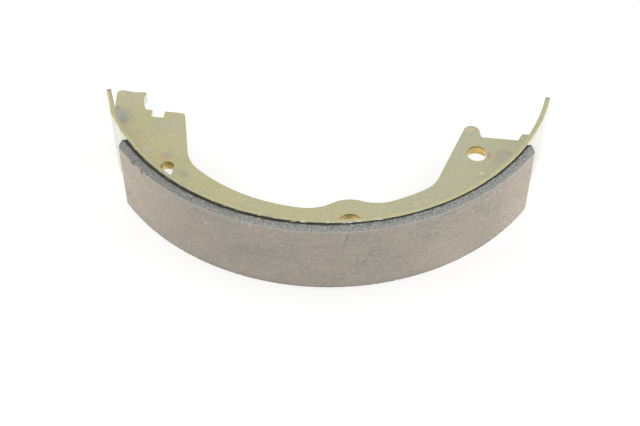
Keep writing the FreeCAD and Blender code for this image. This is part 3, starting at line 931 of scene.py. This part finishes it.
# Place, radius, softness, colour and strength of each mark on the web's upper face.
WEB_MARKS = (
    (-82.0, -9.4, 5.6, 0.7, (0.345, 0.30, 0.205), 0.6),
    (-81.0, -13.2, 4.4, 0.8, (0.345, 0.30, 0.215), 0.55),
    (-83.6, -8.4, 2.7, 0.7, (0.31, 0.325, 0.275), 0.85),
    (-82.8, -10.9, 3.1, 0.6, (0.285, 0.31, 0.275), 0.85),
    (-81.9, -13.6, 2.7, 0.7, (0.29, 0.30, 0.25), 0.85),
    (-83.8, -10.6, 1.6, 0.9, (0.40, 0.42, 0.33), 0.6),
    (-84.5, -6.2, 1.5, 0.8, (0.27, 0.215, 0.20), 0.75),
    (-82.6, 1.8, 2.6, 0.8, (0.56, 0.43, 0.29), 0.55),
    (-77.6, 1.5, 2.2, 0.8, (0.55, 0.43, 0.30), 0.5),
    (-74.0, -0.3, 3.4, 0.9, (0.46, 0.39, 0.29), 0.6),
    (-79.0, -0.5, 8.0, 0.9, (0.425, 0.39, 0.295), 0.5),
    (-73.4, -13.8, 1.0, 0.8, (0.47, 0.49, 0.33), 0.45),
    (-75.5, -14.6, 2.4, 0.9, (0.52, 0.41, 0.24), 0.45),
    (-62.4, -17.2, 4.6, 0.8, (0.435, 0.405, 0.31), 0.65),
    (-60.6, -21.4, 4.2, 0.8, (0.435, 0.405, 0.31), 0.6),
    (-59.8, -25.4, 3.0, 0.8, (0.44, 0.41, 0.31), 0.5),
    (-66.5, -17.5, 3.0, 0.9, (0.43, 0.41, 0.30), 0.4),
    (-62.5, -23.9, 0.9, 0.8, (0.56, 0.43, 0.18), 0.4),
    (-59.7, -26.8, 1.0, 0.8, (0.56, 0.45, 0.17), 0.4),
    (-64.1, -24.8, 0.7, 0.8, (0.60, 0.60, 0.42), 0.4),
    (-70.0, -33.5, 0.8, 0.7, (0.60, 0.47, 0.21), 0.5),
    (-73.5, -31.0, 3.0, 0.9, (0.44, 0.43, 0.36), 0.5),
    (-65.4, -35.2, 3.2, 0.8, (0.37, 0.31, 0.225), 0.75),
    (-67.9, -36.6, 1.5, 0.9, (0.66, 0.30, 0.18), 0.8),
    (-61.4, -43.4, 2.4, 0.9, (0.39, 0.35, 0.25), 0.55),
    (-59.3, -45.6, 3.4, 0.8, (0.345, 0.30, 0.225), 0.75),
    (-51.8, -55.9, 2.4, 0.9, (0.42, 0.37, 0.27), 0.4),
    (-72.6, -9.6, 1.3, 0.8, (0.53, 0.39, 0.25), 0.6),
    (52.0, -32.8, 2.6, 0.8, (0.56, 0.44, 0.28), 0.6),
    (59.4, -48.8, 4.6, 0.9, (0.40, 0.35, 0.25), 0.6),
    (61.8, -48.9, 5.0, 0.45, (0.335, 0.28, 0.21), 0.55),
    (61.5, -50.3, 4.2, 0.6, (0.385, 0.37, 0.285), 0.9),
    (56.4, -47.0, 1.8, 0.8, (0.31, 0.215, 0.34), 0.85),
    (58.4, -47.2, 1.7, 0.8, (0.58, 0.36, 0.18), 0.7),
    (57.8, -49.2, 1.7, 0.8, (0.52, 0.41, 0.19), 0.6),
    (52.2, -56.6, 0.8, 0.6, (0.74, 0.70, 0.47), 0.8),
    (42.5, -63.1, 5.0, 0.9, (0.42, 0.44, 0.29), 0.5),
    (25.5, -69.6, 2.2, 0.9, (0.57, 0.44, 0.28), 0.6),
    (28.8, -68.9, 1.6, 0.9, (0.55, 0.43, 0.31), 0.6),
)

# How much further down the painted shade on the holes' walls reaches than the upper face's marks,
# and the place, radius and strength of each patch of it.
SHADE_DEPTH = 1.5
BORE_SHADES = (
    (-67.8, -40.4, 1.9, 0.9),
    (-63.0, -40.6, 2.0, 0.9),
    (-65.6, -38.4, 1.2, 0.6),
    (-0.3, -72.2, 1.9, 0.6),
)

# How metallic the plate is, and how far its clear film is worn off at the rims.
PLATE_METALLIC = 0.72
RIM_WEAR = 0.8


def plate_colour(tree, place):
    """The uneven yellow-green of passivated zinc, shared by web and table."""
    colour = mixed(tree, mottled(tree, place["Flat"], 11.0, 0.38, 0.62, 1.0), OLIVE, KHAKI)
    mauve = times(tree, mottled(tree, place["Flat"], 7.0, 0.5, 0.72, 5.0), 0.6)
    colour = mixed(tree, mauve, colour, MAUVE_GREY)
    green = times(tree, mottled(tree, place["Flat"], 4.0, 0.5, 0.75, 9.0), 0.5)
    colour = mixed(tree, green, colour, GREEN_GREY)
    cooler = remap(tree, place["Along"], -40.0, 45.0, 0.0, 0.72)
    colour = mixed(tree, cooler, colour, COOL_GREY)
    blotch = mottled(tree, place["Flat"], 2.2, 0.3, 0.7, 11.0)
    colour = mixed(tree, times(tree, blotch, 0.3), colour, KHAKI)
    grain = mottled(tree, place["Flat"], 0.9, 0.3, 0.7, 13.0)
    shade = remap(tree, grain, 0.0, 1.0, 0.93, 1.06)
    fine = remap(tree, mottled(tree, place["Flat"], 0.32, 0.3, 0.7, 17.0), 0.0, 1.0, 0.95, 1.05)
    return shaded_by(tree, shaded_by(tree, colour, shade), fine)


def plate_shader(tree, output, place, colour, roughness, metallic, worn):
    """Satin plated steel with a thin clear film over it, thinner where it is worn."""
    film = remap(tree, worn, 0.0, 1.0, 1.0, 0.0)
    grain = mottled(tree, place["Flat"], 0.35, 0.2, 0.8, 21.0)
    rolling = streaked(tree, place["Curved"], 9.0, 0.35, 0.25, 0.75)
    height = math_of(tree, "MULTIPLY_ADD", rolling, 0.4, grain)
    bump = add_node(tree, "ShaderNodeBump", {"Strength": 0.35, "Distance": 0.00003, "Height": height})
    shader = add_node(tree, "ShaderNodeBsdfPrincipled", {
        "Base Color": colour,
        "Roughness": roughness,
        "Metallic": metallic,
        "Coat Weight": film,
        "Normal": bump.outputs[0],
    })
    shader.inputs["Coat Roughness"].default_value = 0.2
    tree.links.new(shader.outputs[0], output.inputs["Surface"])


def web_material():
    """Plate with its weld marks and stains, sheared walls painted pale as glare, and golden holes with
    painted shade at their tops.
    """
    material, tree, output, place = new_material("Zinc plate on the web")
    colour = plate_colour(tree, place)
    for x, y, radius, softness, mark, strength in WEB_MARKS:
        mask = patched(tree, place["Flat"], x, y, radius, softness, MARK_UNEVENNESS)
        colour = mixed(tree, times(tree, mask, strength), colour, mark)
    rim = read_mark(tree, "rim")
    colour = mixed(tree, times(tree, rim, 0.6), colour, EDGE_OLIVE)
    # Painted glare: the sheared outline walls are made pale as if lit full on.
    colour = mixed(tree, times(tree, read_mark(tree, "wall"), 0.85), colour, SHEARED_WALL_GLARE)
    # Painted shade: the holes' walls darken towards their tops under the drawn-over rim, with smears
    # mixed in.
    shaded = times(tree, remap(tree, place["Across"], 0.7, 1.7), 0.8)
    smears = times(tree, mottled(tree, place["Flat"], 2.4, 0.45, 0.62, 27.0), 0.45)
    shaded = math_of(tree, "MAXIMUM", shaded, smears)
    raised = vector_of(tree, "ADD", place["Flat"], (0.0, 0.0, SHADE_DEPTH))
    for x, y, radius, strength in BORE_SHADES:
        shade = times(tree, patched(tree, raised, x, y, radius, 0.6, MARK_UNEVENNESS), strength)
        shaded = math_of(tree, "MAXIMUM", shaded, shade)
    gold = mixed(tree, shaded, DEEP_GOLD, BROWN_GOLD)
    colour = mixed(tree, read_mark(tree, "bore"), colour, gold)
    uneven = mottled(tree, place["Flat"], 2.5, 0.3, 0.7, 25.0)
    roughness = remap(tree, uneven, 0.0, 1.0, 0.36, 0.5)
    plate_shader(tree, output, place, colour, roughness, PLATE_METALLIC, times(tree, rim, RIM_WEAR))
    return material


# Start, end and strength of the duller stretches of the table, by angle.
DULL_STRETCHES = ((-75.0, -64.0, 0.35), (-58.0, -36.0, 0.28), (-22.5, -16.5, 0.5))

# The dark marks at the ends of the table's outer face, partly dirt and partly painted edge shadow: their
# height as a share of their length, and the angle, height, radius and strength of each.
DARK_MARK_STRETCH = 0.38
TIP_DIRT_AND_SHADE = (
    (69.4, 9.3, 1.6, 0.9),
    (69.4, 5.6, 1.3, 0.85),
    (69.4, 2.4, 0.6, 0.6),
    (69.4, -10.6, 0.8, 0.8),
    (69.4, -12.6, 0.6, 0.7),
    (-84.0, 3.2, 0.9, 0.6),
    (-84.0, -5.0, 1.3, 0.6),
)


def stretch(tree, place, angles, soft):
    """A mask for the part of the arc between two angles, with soft ends of this length."""
    start, finish = [along_at(angle) for angle in angles]
    rising = remap(tree, place["Along"], start, start + soft)
    falling = remap(tree, place["Along"], finish, finish - soft)
    return times(tree, rising, falling)


def pale_reflection_outside(tree, place, outside):
    """The part of the table's outer face painted pale as a reflection of the white surroundings, patchy
    and rubbed.
    """
    patches = mottled(tree, place["Flat"], 5.0, 0.35, 0.68, 33.0)
    reflected = times(tree, outside, remap(tree, patches, 0.0, 1.0, 0.95, 0.7))
    rubbed = streaked(tree, place["Curved"], 20.0, 0.6, 0.45, 0.75)
    return times(tree, reflected, remap(tree, rubbed, 0.0, 1.0, 1.0, 0.88))


def glue_and_groove_shade(tree, place):
    """Adhesive squeezed out over the table's edge together with painted groove shade, less of it away
    from the lever end.
    """
    reach = remap(tree, place["Along"], -40.0, 30.0, TABLE_OUTER - 0.58, TABLE_OUTER - 0.18)
    depth = math_of(tree, "SUBTRACT", place["Outwards"], reach)
    covered = stretch(tree, place, LINING_ANGLES, 0.8)
    film = times(tree, remap(tree, depth, 0.0, 0.2), covered)
    film = times(tree, film, mottled(tree, place["Curved"], 2.6, 0.2, 0.42, 37.0))
    return times(tree, film, remap(tree, place["Along"], -20.0, 40.0, 0.9, 0.35))


def burr_glints(tree, place):
    """Bright bare burr with painted glints along the outer corner of the table's upper edge, most of
    them mid-way.
    """
    outer = remap(tree, place["Outwards"], TABLE_OUTER - 0.85, TABLE_OUTER - 0.6)
    burr = times(tree, outer, streaked(tree, place["Curved"], 2.6, 0.6, 0.56, 0.68))
    burr = times(tree, burr, remap(tree, place["Across"], HALF_WIDTH - 0.6, HALF_WIDTH - 0.2))
    away = math_of(tree, "ABSOLUTE", math_of(tree, "ADD", place["Along"], 8.0))
    return times(tree, burr, remap(tree, away, 12.0, 40.0, 1.0, 0.3))


def tip_dirt_and_shade(tree, place, outside):
    """Dark marks at the ends of the table's outer face, partly dirt and partly painted edge shadow,
    drawn out along the arc.
    """
    drawn_out = vector_of(tree, "MULTIPLY", place["Curved"], (DARK_MARK_STRETCH, 1.0, 1.0))
    dirt_and_shade = 0.0
    for angle, height, radius, strength in TIP_DIRT_AND_SHADE:
        along = along_at(angle) * DARK_MARK_STRETCH
        dark_mark = times(tree, patched(tree, drawn_out, along, height, radius, 0.6, 0.7), strength)
        dirt_and_shade = math_of(tree, "MAXIMUM", dirt_and_shade, dark_mark)
    return times(tree, dirt_and_shade, outside)


def table_material():
    """Plate with a worn upper edge, duller stretches, an outside painted pale as a reflection, dirt and
    painted edge shadow at its ends, squeezed adhesive with painted groove shade and painted glints on
    the burr.
    """
    material, tree, output, place = new_material("Zinc plate on the table")
    colour = plate_colour(tree, place)
    rim = read_mark(tree, "rim")
    uneven_edge = mottled(tree, place["Curved"], 3.0, 0.35, 0.65, 31.0)
    edge = mixed(tree, uneven_edge, RUBBED_EDGE, DULL_EDGE)
    colour = mixed(tree, times(tree, rim, 0.85), colour, edge)
    inner = remap(tree, place["Outwards"], TABLE_INNER + 0.12, TABLE_INNER + 0.45, 1.0, 0.0)
    colour = mixed(tree, times(tree, times(tree, inner, rim), 0.6), colour, INNER_EDGE)
    for begin, stop, strength in DULL_STRETCHES:
        dull = stretch(tree, place, (begin, stop), 5.0)
        colour = mixed(tree, times(tree, dull, strength), colour, DULL_STRIP)
    below_edge = remap(tree, place["Across"], HALF_WIDTH - 0.45, HALF_WIDTH - 0.25, 1.0, 0.0)
    outermost = remap(tree, place["Outwards"], TABLE_OUTER - 0.2, TABLE_OUTER - 0.08)
    outside = times(tree, outermost, below_edge)
    # Painted reflection: the outer face is made pale as if it mirrored the white surroundings.
    colour = mixed(tree, pale_reflection_outside(tree, place, outside), colour, OUTER_FACE_REFLECTION)
    middle = along_at(sum(TABLE_ANGLES) / 2)
    half_length = along_at(TABLE_ANGLES[1]) - middle
    away = math_of(tree, "ABSOLUTE", math_of(tree, "SUBTRACT", place["Along"], middle))
    tip = remap(tree, away, half_length - 2.1, half_length - 0.7)
    colour = mixed(tree, times(tree, tip, 0.8), colour, TIP_BROWN)
    # Painted shade: the squeezed-out adhesive's near black also stands in for the groove's shade between
    # table and lining.
    colour = mixed(tree, glue_and_groove_shade(tree, place), colour, SQUEEZED_GLUE_AND_SHADE)
    # Painted glints: bright specks on the burr stand in for light caught by it.
    colour = mixed(tree, burr_glints(tree, place), colour, BURR_GLINT)
    # Partly painted shadow: the dark marks at the tips are dirt and shade at the outer face's edges.
    dirt_and_shade = tip_dirt_and_shade(tree, place, outside)
    colour = mixed(tree, dirt_and_shade, colour, END_DIRT_AND_SHADE)
    uneven = mottled(tree, place["Flat"], 2.5, 0.3, 0.7, 35.0)
    roughness = remap(tree, uneven, 0.0, 1.0, 0.34, 0.5)
    roughness = math_of(tree, "MULTIPLY_ADD", dirt_and_shade, 0.6, roughness, clamp=True)
    metallic = remap(tree, dirt_and_shade, 0.0, 1.0, PLATE_METALLIC, 0.0)
    worn = math_of(tree, "MAXIMUM", times(tree, rim, RIM_WEAR), dirt_and_shade)
    plate_shader(tree, output, place, colour, roughness, metallic, worn)
    return material


def rough_shader(tree, output, colour, roughness, bumps):
    """A surface with no metal in it, of one roughness, with its bumps."""
    bump = add_node(tree, "ShaderNodeBump", bumps).outputs[0]
    shader = add_node(tree, "ShaderNodeBsdfPrincipled", {"Base Color": colour, "Normal": bump})
    shader.inputs["Roughness"].default_value = roughness
    tree.links.new(shader.outputs[0], output.inputs["Surface"])


def bond_material():
    """Lumpy adhesive, almost black."""
    material, tree, output, place = new_material("Dark cured adhesive")
    lumps = mottled(tree, place["Curved"], 0.8, 0.35, 0.7, 3.0)
    colour = mixed(tree, lumps, BOND_DARK, BOND_LIGHT)
    rough_shader(tree, output, colour, 0.7, {"Strength": 0.8, "Distance": 0.0001, "Height": lumps})
    return material


# Colours of the lining: its ground face, its moulded sides, where it is broken, and its painted light
# and shade.
GROUND_LIGHT = (0.445, 0.395, 0.335)
GROUND_DARK = (0.37, 0.335, 0.285)
GROUND_LINE = (0.30, 0.268, 0.225)
GROUND_ROSY = (0.43, 0.365, 0.32)
LOWER_LIP = (0.27, 0.20, 0.13)
LIT_END_GROUND = (0.57, 0.50, 0.405)
MOULD_DARK = (0.08, 0.082, 0.075)
MOULD_LIGHT = (0.42, 0.425, 0.40)
MOULD_COARSE = (0.20, 0.205, 0.195)
MOULD_OUTER = (0.42, 0.42, 0.40)
MOULD_GROOVE_SHADE = (0.03, 0.03, 0.026)
BROKEN = (0.11, 0.09, 0.075)
PALE_CHIP = (0.62, 0.57, 0.50)

# Start, full reach and strength of the painted light on the ends of the ground face, by length along the
# arc.
PAINTED_LIGHT_ENDS = ((-52.0, -98.0, 0.95), (45.0, 80.0, 0.7))

# Angle, height, radius and strength of the light spots in the ground face.
LIGHT_SPOTS = (
    (-34.1, 7.7, 1.0, 0.6),
    (-23.2, 13.5, 1.1, 0.6),
    (-16.2, 6.3, 0.9, 0.55),
    (-14.9, 4.5, 0.8, 0.5),
    (-25.8, -10.8, 0.9, 0.5),
    (36.0, 11.4, 1.0, 0.5),
    (32.3, 10.9, 0.9, 0.45),
)

# Angle and height of the two ends of the scratch in the ground face.
SCRATCH_START = (-1.66, 13.9)
SCRATCH_END = (-2.84, 6.0)


def scratch_mask(tree, place):
    """A slanted scratch down the ground face, broken into dashes."""
    start_angle, top = SCRATCH_START
    end_angle, bottom = SCRATCH_END
    start_along = along_at(start_angle)
    slope = (along_at(end_angle) - start_along) / (bottom - top)
    drop = math_of(tree, "SUBTRACT", place["Across"], top)
    line = math_of(tree, "MULTIPLY_ADD", drop, slope, start_along)
    away = math_of(tree, "ABSOLUTE", math_of(tree, "SUBTRACT", place["Along"], line))
    thin = remap(tree, away, 0.04, 0.24, 1.0, 0.0)
    above = remap(tree, place["Across"], bottom - 0.6, bottom + 1.4)
    below = remap(tree, place["Across"], top - 0.4, top + 0.6, 1.0, 0.0)
    dashes = mottled(tree, place["Curved"], 1.3, 0.3, 0.55, 41.0)
    mask = times(tree, times(tree, thin, above), below)
    return times(tree, mask, dashes)


def ground_colour(tree, place, pits, scratch, lines):
    """The ground face: broad patches, grinding lines, grains, spots, pits and flecks."""
    curved = place["Curved"]
    colour = mixed(tree, mottled(tree, curved, 14.0, 0.35, 0.65, 2.0), GROUND_LIGHT, GROUND_DARK)
    rosy = mottled(tree, curved, 3.2, 0.4, 0.7, 4.0)
    colour = mixed(tree, times(tree, rosy, 0.45), colour, GROUND_ROSY)
    # Painted light: the ground face is made paler towards both ends, where side light falls on it.
    for start, finish, strength in PAINTED_LIGHT_ENDS:
        lit_share = remap(tree, place["Along"], start, finish, 0.0, strength)
        colour = mixed(tree, lit_share, colour, LIT_END_GROUND)
    # Painted light: the lower half is a little lighter, to make up for shade near the floor, and at the
    # lever end a little darker.
    lower_half = remap(tree, place["Across"], 2.0, -13.0, 0.0, 0.08)
    turned = remap(tree, place["Along"], -85.0, -55.0, -0.4, 1.0)
    colour = shaded_by(tree, colour, math_of(tree, "MULTIPLY_ADD", lower_half, turned, 1.0))
    colour = mixed(tree, times(tree, lines, 0.5), colour, GROUND_LINE)
    upright = joined(tree, place["Across"], place["Along"], place["Outwards"])
    strokes = streaked(tree, upright, 16.0, 1.3, 0.52, 0.74)
    colour = mixed(tree, times(tree, strokes, 0.4), colour, GROUND_LIGHT)
    cross = streaked(tree, curved, 7.0, 1.0, 0.42, 0.72)
    colour = mixed(tree, times(tree, cross, 0.55), colour, GROUND_LIGHT)
    patchy = mottled(tree, curved, 1.6, 0.36, 0.66, 8.0)
    colour = shaded_by(tree, colour, remap(tree, patchy, 0.0, 1.0, 0.955, 1.05))
    grains = mottled(tree, curved, 0.75, 0.32, 0.7, 6.0)
    colour = shaded_by(tree, colour, remap(tree, grains, 0.0, 1.0, 0.935, 1.065))
    for angle, height, radius, strength in LIGHT_SPOTS:
        spot = patched(tree, curved, along_at(angle), height, radius, 0.8, 0.4)
        colour = mixed(tree, times(tree, spot, strength), colour, PALE_CHIP)
    upper_lip = remap(tree, place["Across"], HALF_WIDTH - 0.7, HALF_WIDTH - 0.3, 0.0, 0.4)
    colour = mixed(tree, upper_lip, colour, PALE_CHIP)
    lower_lip = remap(tree, place["Across"], 1.0 - HALF_WIDTH, 0.1 - HALF_WIDTH, 0.0, 0.6)
    colour = mixed(tree, lower_lip, colour, LOWER_LIP)
    colour = mixed(tree, times(tree, pits, 0.6), colour, BROKEN)
    flecks = mottled(tree, curved, 1.4, 0.68, 0.76, 14.0)
    colour = mixed(tree, times(tree, flecks, 0.45), colour, PALE_CHIP)
    return mixed(tree, times(tree, scratch, 0.7), colour, BROKEN)


def mould_colour(tree, place, speckle):
    """The moulded sides: a speckled grey, lighter outwards, and near black along the adhesive as painted
    shade in the groove.
    """
    colour = mixed(tree, speckle, MOULD_DARK, MOULD_LIGHT)
    coarse = mottled(tree, place["Curved"], 2.2, 0.35, 0.65, 22.0)
    colour = mixed(tree, times(tree, coarse, 0.3), colour, MOULD_COARSE)
    outer_share = remap(tree, place["Outwards"], LINING_INNER, GROUND_RADIUS, 0.0, 0.3)
    colour = mixed(tree, outer_share, colour, MOULD_OUTER)
    lever_side = remap(tree, place["Along"], -75.0, -20.0, 0.25, 0.0)
    colour = mixed(tree, lever_side, colour, MOULD_DARK)
    # Painted shade: the band next to the adhesive is made near black, as the groove's shadow.
    inner_reach = remap(tree, place["Along"], -60.0, 0.0, LINING_INNER + 1.1, LINING_INNER + 0.75)
    inner_reach = math_of(tree, "ADD", inner_reach, remap(tree, coarse, 0.0, 1.0, -0.3, 0.25))
    inner_share = remap(tree, place["Outwards"], LINING_INNER + 0.15, inner_reach, 1.0, 0.0)
    return mixed(tree, inner_share, colour, MOULD_GROOVE_SHADE)


def lining_material():
    """Friction material: ground where the mesh says so, and as it was moulded elsewhere."""
    material, tree, output, place = new_material("Ground friction material")
    lines = streaked(tree, place["Curved"], 22.0, 0.32, 0.35, 0.75)
    pits = mottled(tree, place["Curved"], 1.1, 0.69, 0.76, 10.0)
    speckle = mottled(tree, place["Curved"], 0.62, 0.34, 0.68, 18.0)
    scratch = scratch_mask(tree, place)
    ground = ground_colour(tree, place, pits, scratch, lines)
    mould = mould_colour(tree, place, speckle)
    colour = mixed(tree, read_mark(tree, "ground"), mould, ground)
    height = math_of(tree, "MULTIPLY_ADD", pits, -2.5, speckle)
    height = math_of(tree, "MULTIPLY_ADD", lines, -0.6, height)
    height = math_of(tree, "MULTIPLY_ADD", scratch, -2.0, height)
    rough_shader(tree, output, colour, 0.78, {"Strength": 0.6, "Distance": 0.00005, "Height": height})
    return material


ROLLED_STRIP = strip_tree()
TABLE_SIZES = {
    "Inner Radius": TABLE_INNER,
    "Thickness": TABLE_THICK,
    "Width": 2 * HALF_WIDTH,
    "Start Angle": TABLE_ANGLES[0],
    "End Angle": TABLE_ANGLES[1],
    "Edge Radius": 0.3,
    "Tip Corner": TIP_CORNER,
    "Raggedness": 0.1,
    "Ragged Pitch": 1.4,
    "Tip Lean": TIP_LEAN,
    "Tip Bulge": TIP_BULGE,
    "Points Along": 361,
    "Points Across": 65,
    "Points Through": 15,
    "Seed": 4.0,
    "Material": table_material(),
}
BOND_SIZES = {
    "Inner Radius": TABLE_OUTER,
    "Thickness": BOND_THICK,
    "Width": 2 * BOND_HALF,
    "Start Angle": LINING_ANGLES[0],
    "End Angle": LINING_ANGLES[1],
    "Edge Radius": 0.05,
    "Tip Corner": 0.3,
    "Raggedness": 0.4,
    "Ragged Pitch": 1.6,
    "Tip Lean": 0.0,
    "Tip Bulge": 0.0,
    "Points Along": 361,
    "Points Across": 25,
    "Points Through": 5,
    "Seed": 9.0,
    "Material": bond_material(),
}
web.data.materials.append(web_material())
lining.data.materials.append(lining_material())
table = rolled_strip("plated_table", ROLLED_STRIP, TABLE_SIZES, sharp=50)
bond = rolled_strip("adhesive_line", ROLLED_STRIP, BOND_SIZES, sharp=60)
pieces = (
    (web, "shoe_web", "zinc_plate"),
    (table, "shoe_table", "zinc_plate"),
    (bond, "bond_layer", "bond_line"),
    (lining, "friction_lining", "friction_material"),
)
for piece, node, slot in pieces:
    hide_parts(node)
    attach(piece, "root")


# Floor, surroundings, lamps and camera, in metres.
FLOOR_SIZE = 3.0
FLOOR_GAP = 0.0001
GLOW_FADE = (0.2, 1.2)
GLOW_AT_SHOE = 0.68
WHITE = (1.0, 1.0, 1.0, 1.0)
PAPER = (0.88, 0.88, 0.88, 1.0)
SEEN_PAPER = (0.38, 0.38, 0.38, 1.0)


def lit_and_seen(tree, output, light, seen):
    """Lights the shoe by one shader, and shows the other in the view, in gloss and through glass."""
    paths = add_node(tree, "ShaderNodeLightPath").outputs
    share = math_of(tree, "MAXIMUM", paths["Is Camera Ray"], paths["Is Glossy Ray"])
    share = math_of(tree, "MAXIMUM", share, paths["Is Transmission Ray"])
    both = add_node(tree, "ShaderNodeMixShader", {0: share, 1: light.outputs[0], 2: seen.outputs[0]})
    tree.links.new(both.outputs[0], output.inputs["Surface"])


def pale_floor():
    """A sheet of pale paper that keeps the shoe's shadow and fades to white around it."""
    shape = bmesh.new()
    bmesh.ops.create_grid(shape, x_segments=1, y_segments=1, size=FLOOR_SIZE)
    mesh = bpy.data.meshes.new("pale_floor")
    shape.to_mesh(mesh)
    shape.free()
    floor = bpy.data.objects.new("pale_floor", mesh)
    floor.location.z = -HALF_WIDTH * MM - FLOOR_GAP
    bpy.context.scene.collection.objects.link(floor)
    material = bpy.data.materials.new("Pale paper")
    material.use_nodes = True
    tree = material.node_tree
    tree.nodes.clear()
    output = tree.nodes.new("ShaderNodeOutputMaterial")
    paper = add_node(tree, "ShaderNodeBsdfDiffuse", {"Color": PAPER})
    seen = add_node(tree, "ShaderNodeBsdfDiffuse", {"Color": SEEN_PAPER})
    place = add_node(tree, "ShaderNodeTexCoord").outputs["Object"]
    away = add_node(tree, "ShaderNodeVectorMath", {0: place}, operation="LENGTH").outputs["Value"]
    strength = remap(tree, away, *GLOW_FADE, GLOW_AT_SHOE, 1.0)
    glow = add_node(tree, "ShaderNodeEmission", {"Color": WHITE, "Strength": strength})
    white = add_node(tree, "ShaderNodeAddShader", {0: seen.outputs[0], 1: glow.outputs[0]})
    lit_and_seen(tree, output, paper, white)
    mesh.materials.append(material)


def white_world(strength):
    """Surroundings that light the shoe with this strength and look white."""
    world = bpy.data.worlds.new("White surroundings")
    bpy.context.scene.world = world
    world.use_nodes = True
    tree = world.node_tree
    tree.nodes.clear()
    output = tree.nodes.new("ShaderNodeOutputWorld")
    light = add_node(tree, "ShaderNodeBackground", {"Color": WHITE, "Strength": strength})
    seen = add_node(tree, "ShaderNodeBackground", {"Color": WHITE, "Strength": 1.0})
    lit_and_seen(tree, output, light, seen)


# The point that the lamps face, and the name, place, size and power of each.
SHOE_MIDDLE = (0.0, -0.045, 0.0)
SOFTBOXES = (
    ("left_softbox", (-1.0, 0.42, 0.42), 1.2, 8.4),
    ("right_softbox", (1.0, -0.12, 0.45), 1.2, 7.4),
    ("front_softbox", (0.1, -1.1, 0.8), 0.9, 2.7),
    ("top_softbox", (0.0, 0.2, 1.1), 0.8, 1.0),
)
WORLD_STRENGTH = 0.52


def softbox(name, place, size, power):
    """A square lamp that faces the middle of the shoe."""
    lamp = bpy.data.lights.new(name, "AREA")
    lamp.shape = "SQUARE"
    lamp.size = size
    lamp.energy = power
    holder = bpy.data.objects.new(name, lamp)
    holder.location = place
    ahead = Vector(SHOE_MIDDLE) - Vector(place)
    holder.rotation_euler = ahead.to_track_quat("-Z", "Y").to_euler()
    bpy.context.scene.collection.objects.link(holder)


pale_floor()
white_world(WORLD_STRENGTH)
for lamp in SOFTBOXES:
    softbox(*lamp)

# The photograph's view: place in metres, angles in degrees, lens and sensor in millimetres.
CAMERA_PLACE = (-0.04239, -0.38285, 0.34283)
CAMERA_TILT = 42.6367
CAMERA_HEADING = -5.7808
CAMERA_ROLL = -0.0637
SENSOR_WIDTH = 36.0
LENS = 71.377
NEAREST_SEEN = 0.01

camera_data = bpy.data.cameras.new("photo_view")
camera_data.sensor_width = SENSOR_WIDTH
camera_data.lens = LENS
camera_data.clip_start = NEAREST_SEEN
camera = bpy.data.objects.new("photo_view", camera_data)
camera.location = CAMERA_PLACE
camera.rotation_euler = (
    math.radians(CAMERA_TILT),
    math.radians(CAMERA_ROLL),
    math.radians(CAMERA_HEADING),
)
bpy.context.scene.collection.objects.link(camera)
bpy.context.scene.camera = camera
bpy.context.scene.view_settings.view_transform = "Standard"
